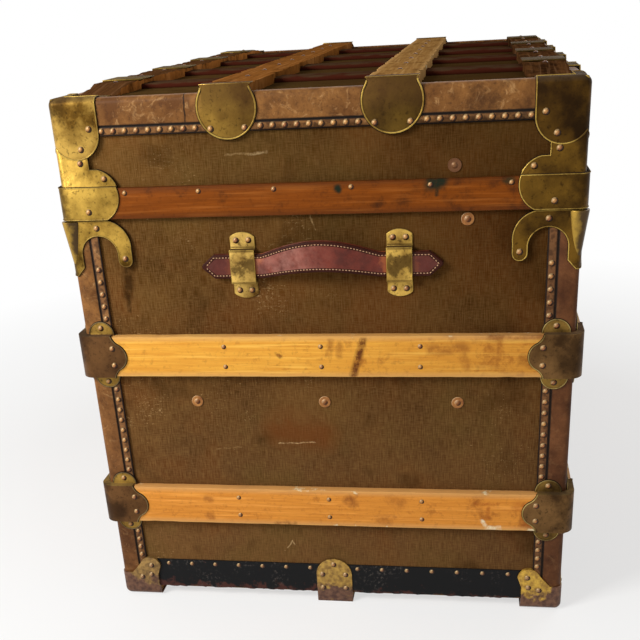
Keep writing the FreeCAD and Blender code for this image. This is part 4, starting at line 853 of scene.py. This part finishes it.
# One stitch: a short six-sided thread with drawn-in ends, lying along Y at the origin
bpy.ops.object.select_all(action="DESELECT")
bpy.ops.mesh.primitive_cylinder_add(vertices=6, radius=stitch_radius, depth=0.6 * stitch_length,
                                    rotation=(math.pi / 2, 0, 0))
stitch = bpy.context.object
bpy.ops.object.transform_apply(location=False, rotation=True, scale=False)
for outward in (1, -1):
    pick_faces(stitch, lambda face: face.normal.y * outward > 0.9)
    drawn_out = (0, 0.2 * stitch_length * outward, 0)
    bpy.ops.mesh.extrude_region_move(TRANSFORM_OT_translate={"value": drawn_out})
    bpy.ops.transform.resize(value=(0.45, 1, 0.45))
    bpy.ops.object.mode_set(mode="OBJECT")
for node in ("right_handle", "left_handle"):
    strap = copy_of(node, node + "_strap", leather, edge_dye)
    outward = math.copysign(1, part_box(node)[1].x)
    # The strap is drawn in by the thread's radius, so that its thread stays within the solid's box
    for vertex in strap.data.vertices:
        vertex.co.x -= outward * stitch_radius
    strap.data.update()
    # The front's outline: for each place along the strap, how far out it lies and its lower and upper edge
    outline = {}
    for vertex in strap.data.vertices:
        outline.setdefault(round(vertex.co.y, 5), []).append(vertex.co.copy())
    upper, lower = [], []
    for y in sorted(outline):
        front = max(co.x * outward for co in outline[y])
        heights = [co.z for co in outline[y] if co.x * outward > front - 0.3 * mm]
        if max(heights) - min(heights) > 4 * stitch_inset:
            upper.append(Vector((front * outward, y, max(heights) - stitch_inset)))
            lower.append(Vector((front * outward, y, min(heights) + stitch_inset)))
    tip = Vector((0, 2.8 * stitch_inset, 0))
    points = [upper[0].lerp(lower[0], 0.5) - tip] + upper
    points += [upper[-1].lerp(lower[-1], 0.5) + tip] + lower[::-1]
    points.append(points[0])
    stitches = []
    waited = 0.0
    for start, stop in zip(points, points[1:]):
        way = (stop - start).normalized()
        along = stitch_pitch - waited
        while along < (stop - start).length:
            one = placed("stitch", stitch.data.copy())
            turn = Vector((0, 1, 0)).rotation_difference(way).to_matrix().to_4x4()
            one.matrix_world = Matrix.Translation(start + way * along) @ turn
            stitches.append(one)
            along += stitch_pitch
        waited = (stop - start).length - (along - stitch_pitch)
    hold(strap)
    before = len(strap.data.polygons)
    pick_faces(strap, lambda face: face.normal.x * outward > 0.7)
    bpy.ops.mesh.inset(thickness=lane_from, use_even_offset=True)
    bpy.ops.mesh.inset(thickness=lane_width, use_even_offset=True)
    bpy.ops.object.mode_set(mode="OBJECT")
    for face in strap.data.polygons[before:]:
        face.material_index = 1
    round_edges(strap, 1.2 * mm, 3)
    settle(strap, node)
    seam = stitches[0]
    join_to(seam, stitches)
    bpy.ops.object.transform_apply()
    seam.name = node + "_stitches"
    seam.data.materials.append(thread_white)
    bpy.ops.object.shade_smooth()
    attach(seam, node)
bpy.data.objects.remove(stitch)

# Nails and rivets: brass and copper heads, driven by hand, so no two lie quite alike in colour.
# Their crowns are rubbed, dirt and painted shade ring them at the foot, one side of each is painted in shade
# and the other with a highlight, and those near the floor have rusted brown.
nail_brass = new_material("old_brass_nails")
where = add(nail_brass, "TexCoord", {}, out=None)
place = where["Object"]
xyz = add(nail_brass, "SeparateXYZ", {0: place}, out=None)
colour = coat(nail_brass, "#b27a3e", "#8a4c26", patches(nail_brass, place, (70, 1, 0.5), 0.38, 0.62))
colour = coat(nail_brass, colour, "#6e4a38", xyz["Z"], 0.056, 0.044, 0.8)
# A head on an end looks along X, one on a side along Y and one on the lid's top along Z
turned = add(nail_brass, "VectorMath", {0: where["Normal"]}, operation="ABSOLUTE")
turned = add(nail_brass, "SeparateXYZ", {0: turned}, out=None)
out = add(nail_brass, "VectorMath", {0: place}, operation="ABSOLUTE")
out = add(nail_brass, "SeparateXYZ", {0: out}, out=None)
on_end = add(nail_brass, "Math", {0: out["X"], 1: canvas_end}, operation="GREATER_THAN")
on_side = add(nail_brass, "Math", {0: out["Y"], 1: canvas_side}, operation="GREATER_THAN")
crown = add(nail_brass, "Mix", {0: on_side, 2: turned["Z"], 3: turned["Y"]})
crown = add(nail_brass, "Mix", {0: on_end, 2: crown, 3: turned["X"]})
# A dark ring at the foot of each head, dirt and painted shade
colour = coat(nail_brass, colour, "#24130a", crown, 0.92, 0.74, 0.95)
# Heads are painted dark on the side towards the hinges and the floor, a painted shade, and on the ends a
# painted highlight lies on the other side
from_light = (0, 0.75, -0.66)
turned_from_light = add(nail_brass, "VectorMath", {0: where["Normal"], 1: from_light}, operation="DOT_PRODUCT", out="Value")
colour = coat(nail_brass, colour, "#2a170b", turned_from_light, 0.06, 0.36, 0.85)
painted_highlight = add(nail_brass, "MapRange", {0: turned_from_light, 1: -0.12, 2: -0.34, 4: 0.45})
painted_highlight = add(nail_brass, "Math", {0: painted_highlight, 1: on_end}, operation="MULTIPLY")
colour = coat(nail_brass, colour, "#dcb67c", painted_highlight)
colour = coat(nail_brass, colour, "#c9a070", crown, 0.95, 0.995, 0.3)
flat = add(nail_brass, "Math", {0: crown, 1: 0.9996}, operation="GREATER_THAN")
colour = coat(nail_brass, colour, "#5a3518", flat)
# One head above the rim slat has browned
colour = mark(nail_brass, place, colour, canvas_end, "#6e4628", 1.0, 14, (138, 500.5), (138.1, 500.5))
shade(nail_brass, base_color=colour, roughness=0.34, metallic=0.15, specular_ior_level=0.25)
dress(nail_brass, "case_trim_nails", "case_rivets", "case_small_nails", "lid_trim_nails", "lid_rivets",
      "lid_small_nails")
# The clinch studs have washers of thin copper, browned
copper = new_material("browned_copper")
where = add(copper, "TexCoord", {}, out=None)
place = where["Object"]
colour = coat(copper, "#b47c42", "#84502a", patches(copper, place, (150, 5, 0.65), 0.36, 0.66))
# Painted shade on the side away from the light and a painted highlight on the side towards it
turned_from_light = add(copper, "VectorMath", {0: where["Normal"], 1: from_light}, operation="DOT_PRODUCT", out="Value")
colour = coat(copper, colour, "#2a1609", turned_from_light, 0.1, 0.3, 0.9)
colour = coat(copper, colour, "#ecd0a0", turned_from_light, -0.1, -0.35, 0.45)
out = add(copper, "VectorMath", {0: place}, operation="ABSOLUTE")
proud = add(copper, "SeparateXYZ", {0: out}, out="X")
colour = coat(copper, colour, "#6a3a1e", proud, canvas_end + 1.0 * mm, canvas_end + 1.3 * mm, 0.6)
shade(copper, base_color=colour, roughness=0.4, metallic=0.2, specular_ior_level=0.2)
fit("clinch_studs", "_browned", 0.7 * mm, 3, copper)

# Hinges, lock, hasp and latches: cast and stamped brass on steel pins.
# The plates are riveted through the boards; the levers, the hasp and the bolt move.
for node in ("hinge_case_leaves", "hinge_lid_leaves", "lock_case", "latch_bases", "latch_catches",
             "hasp_leaf", "lock_hasp", "latch_lever_right", "latch_lever_left"):
    fitting = copy_of(node, node + "_cast", brass, rubbed_and_highlit_brass)
    round_edges(fitting, 0.2 * mm if node == "lock_case" else 0.5 * mm)
    # Rounding moves a corner by some micrometres, which are taken back
    low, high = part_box(node)
    for vertex in fitting.data.vertices:
        vertex.co = Vector(map(min, high, map(max, low, vertex.co)))
    settle(fitting, node)
steel = two_toned("bright_steel_pins", "#5d5750", "#9a948a", 120, 5, roughness=0.35, metallic=0.9)
dress(steel, "hinge_pins", "latch_pins", "hasp_pin", "lock_bolt")

# Tray: thin wooden walls covered with the lining paper, on two end runners, lifted by canvas tabs.
# It lifts straight out once the lid is open.
dress(lining, "tray_floor", "tray_walls")
dress(basswood, "tray_runners")
dress(canvas, "tray_lift_tabs")

# Studio: a pale floor and surround, a soft light from the left of the end handle and a weak one opposite.
# The floor goes to plain white further out, so that no horizon shows, and keeps the shadow near the trunk.


def seen_plain(material):
    """1 for rays from the camera, off a glossy face or through a clear one, which all see plain white."""
    ray = add(material, "LightPath", {}, out=None)
    plain = add(material, "Math", {0: ray["Is Camera Ray"], 1: ray["Is Glossy Ray"]}, operation="MAXIMUM")
    return add(material, "Math", {0: plain, 1: ray["Is Transmission Ray"]}, operation="MAXIMUM")


floor_width = 12
bpy.ops.object.select_all(action="DESELECT")
bpy.ops.mesh.primitive_plane_add(size=floor_width, location=(0, 0, 0))
floor = bpy.context.object
floor.name = "floor"
pale = new_material("pale_floor")
shade(pale, base_color=linear("#f4f3f0"), roughness=0.9, specular_ior_level=0.1)
place = add(pale, "TexCoord", {}, out="Object")
far = add(pale, "VectorMath", {0: place}, operation="LENGTH", out="Value")
far = add(pale, "MapRange", {0: far, 1: 0.5, 2: 1.3, 3: 0.62, 4: 1.0})
plain = add(pale, "Math", {0: seen_plain(pale), 1: far}, operation="MULTIPLY")
white = add(pale, "Emission", {"Color": linear("#ffffff"), "Strength": 1.0})
mixed = add(pale, "MixShader", {0: plain, 1: pale.node_tree.nodes["Principled BSDF"].outputs[0], 2: white})
pale.node_tree.links.new(mixed, pale.node_tree.nodes["Material Output"].inputs["Surface"])
floor.data.materials.append(pale)

world = bpy.data.worlds.new("studio")
bpy.context.scene.world = world
world.use_nodes = True
level = add(world, "MapRange", {0: seen_plain(world), 3: 0.34, 4: 1.0})
surround = world.node_tree.nodes["Background"]
surround.inputs["Color"].default_value = linear("#ffffff")
world.node_tree.links.new(level, surround.inputs["Strength"])


def soft_light(name, at, aim, size, power):
    """A square lamp that the camera doesn't see."""
    lamp = bpy.data.lights.new(name, "AREA")
    lamp.shape = "SQUARE"
    lamp.size = size
    lamp.energy = power
    holder = placed(name, lamp)
    holder.location = at
    holder.rotation_euler = (Vector(aim) - Vector(at)).to_track_quat("-Z", "Y").to_euler()
    holder.visible_camera = False


soft_light("key", (1.3, -1.1, 1.2), (0.4, 0, 0.3), 0.6, 26)
soft_light("fill", (-1.6, 1.4, 1.8), (0, 0, 0.3), 1.2, 14)

# Camera: at the photograph's place, a little above the lid and to the right of the end handle.
# Its turn and its focal length come from the perspective of the end's straight edges.
frame_pixels = 640
focal_pixels = 964.5
axis_below_middle = 129.7
camera_at = (1.3748, 0.1582, 0.6488)
yaw, pitch, roll = 0.1725, -0.4344, 0.0589
camera_data = bpy.data.cameras.new("camera")
camera_data.sensor_width = 36
camera_data.lens = focal_pixels / frame_pixels * camera_data.sensor_width
camera_data.shift_y = axis_below_middle / frame_pixels
camera = placed("camera", camera_data)
camera.matrix_world = (Matrix.Translation(camera_at) @ Matrix.Rotation(math.pi / 2 + yaw, 4, "Z")
                       @ Matrix.Rotation(pitch, 4, "X") @ Matrix.Rotation(roll, 4, "Y")
                       @ Matrix.Rotation(math.pi / 2, 4, "X"))
bpy.context.scene.camera = camera
bpy.context.scene.view_settings.view_transform = "Standard"
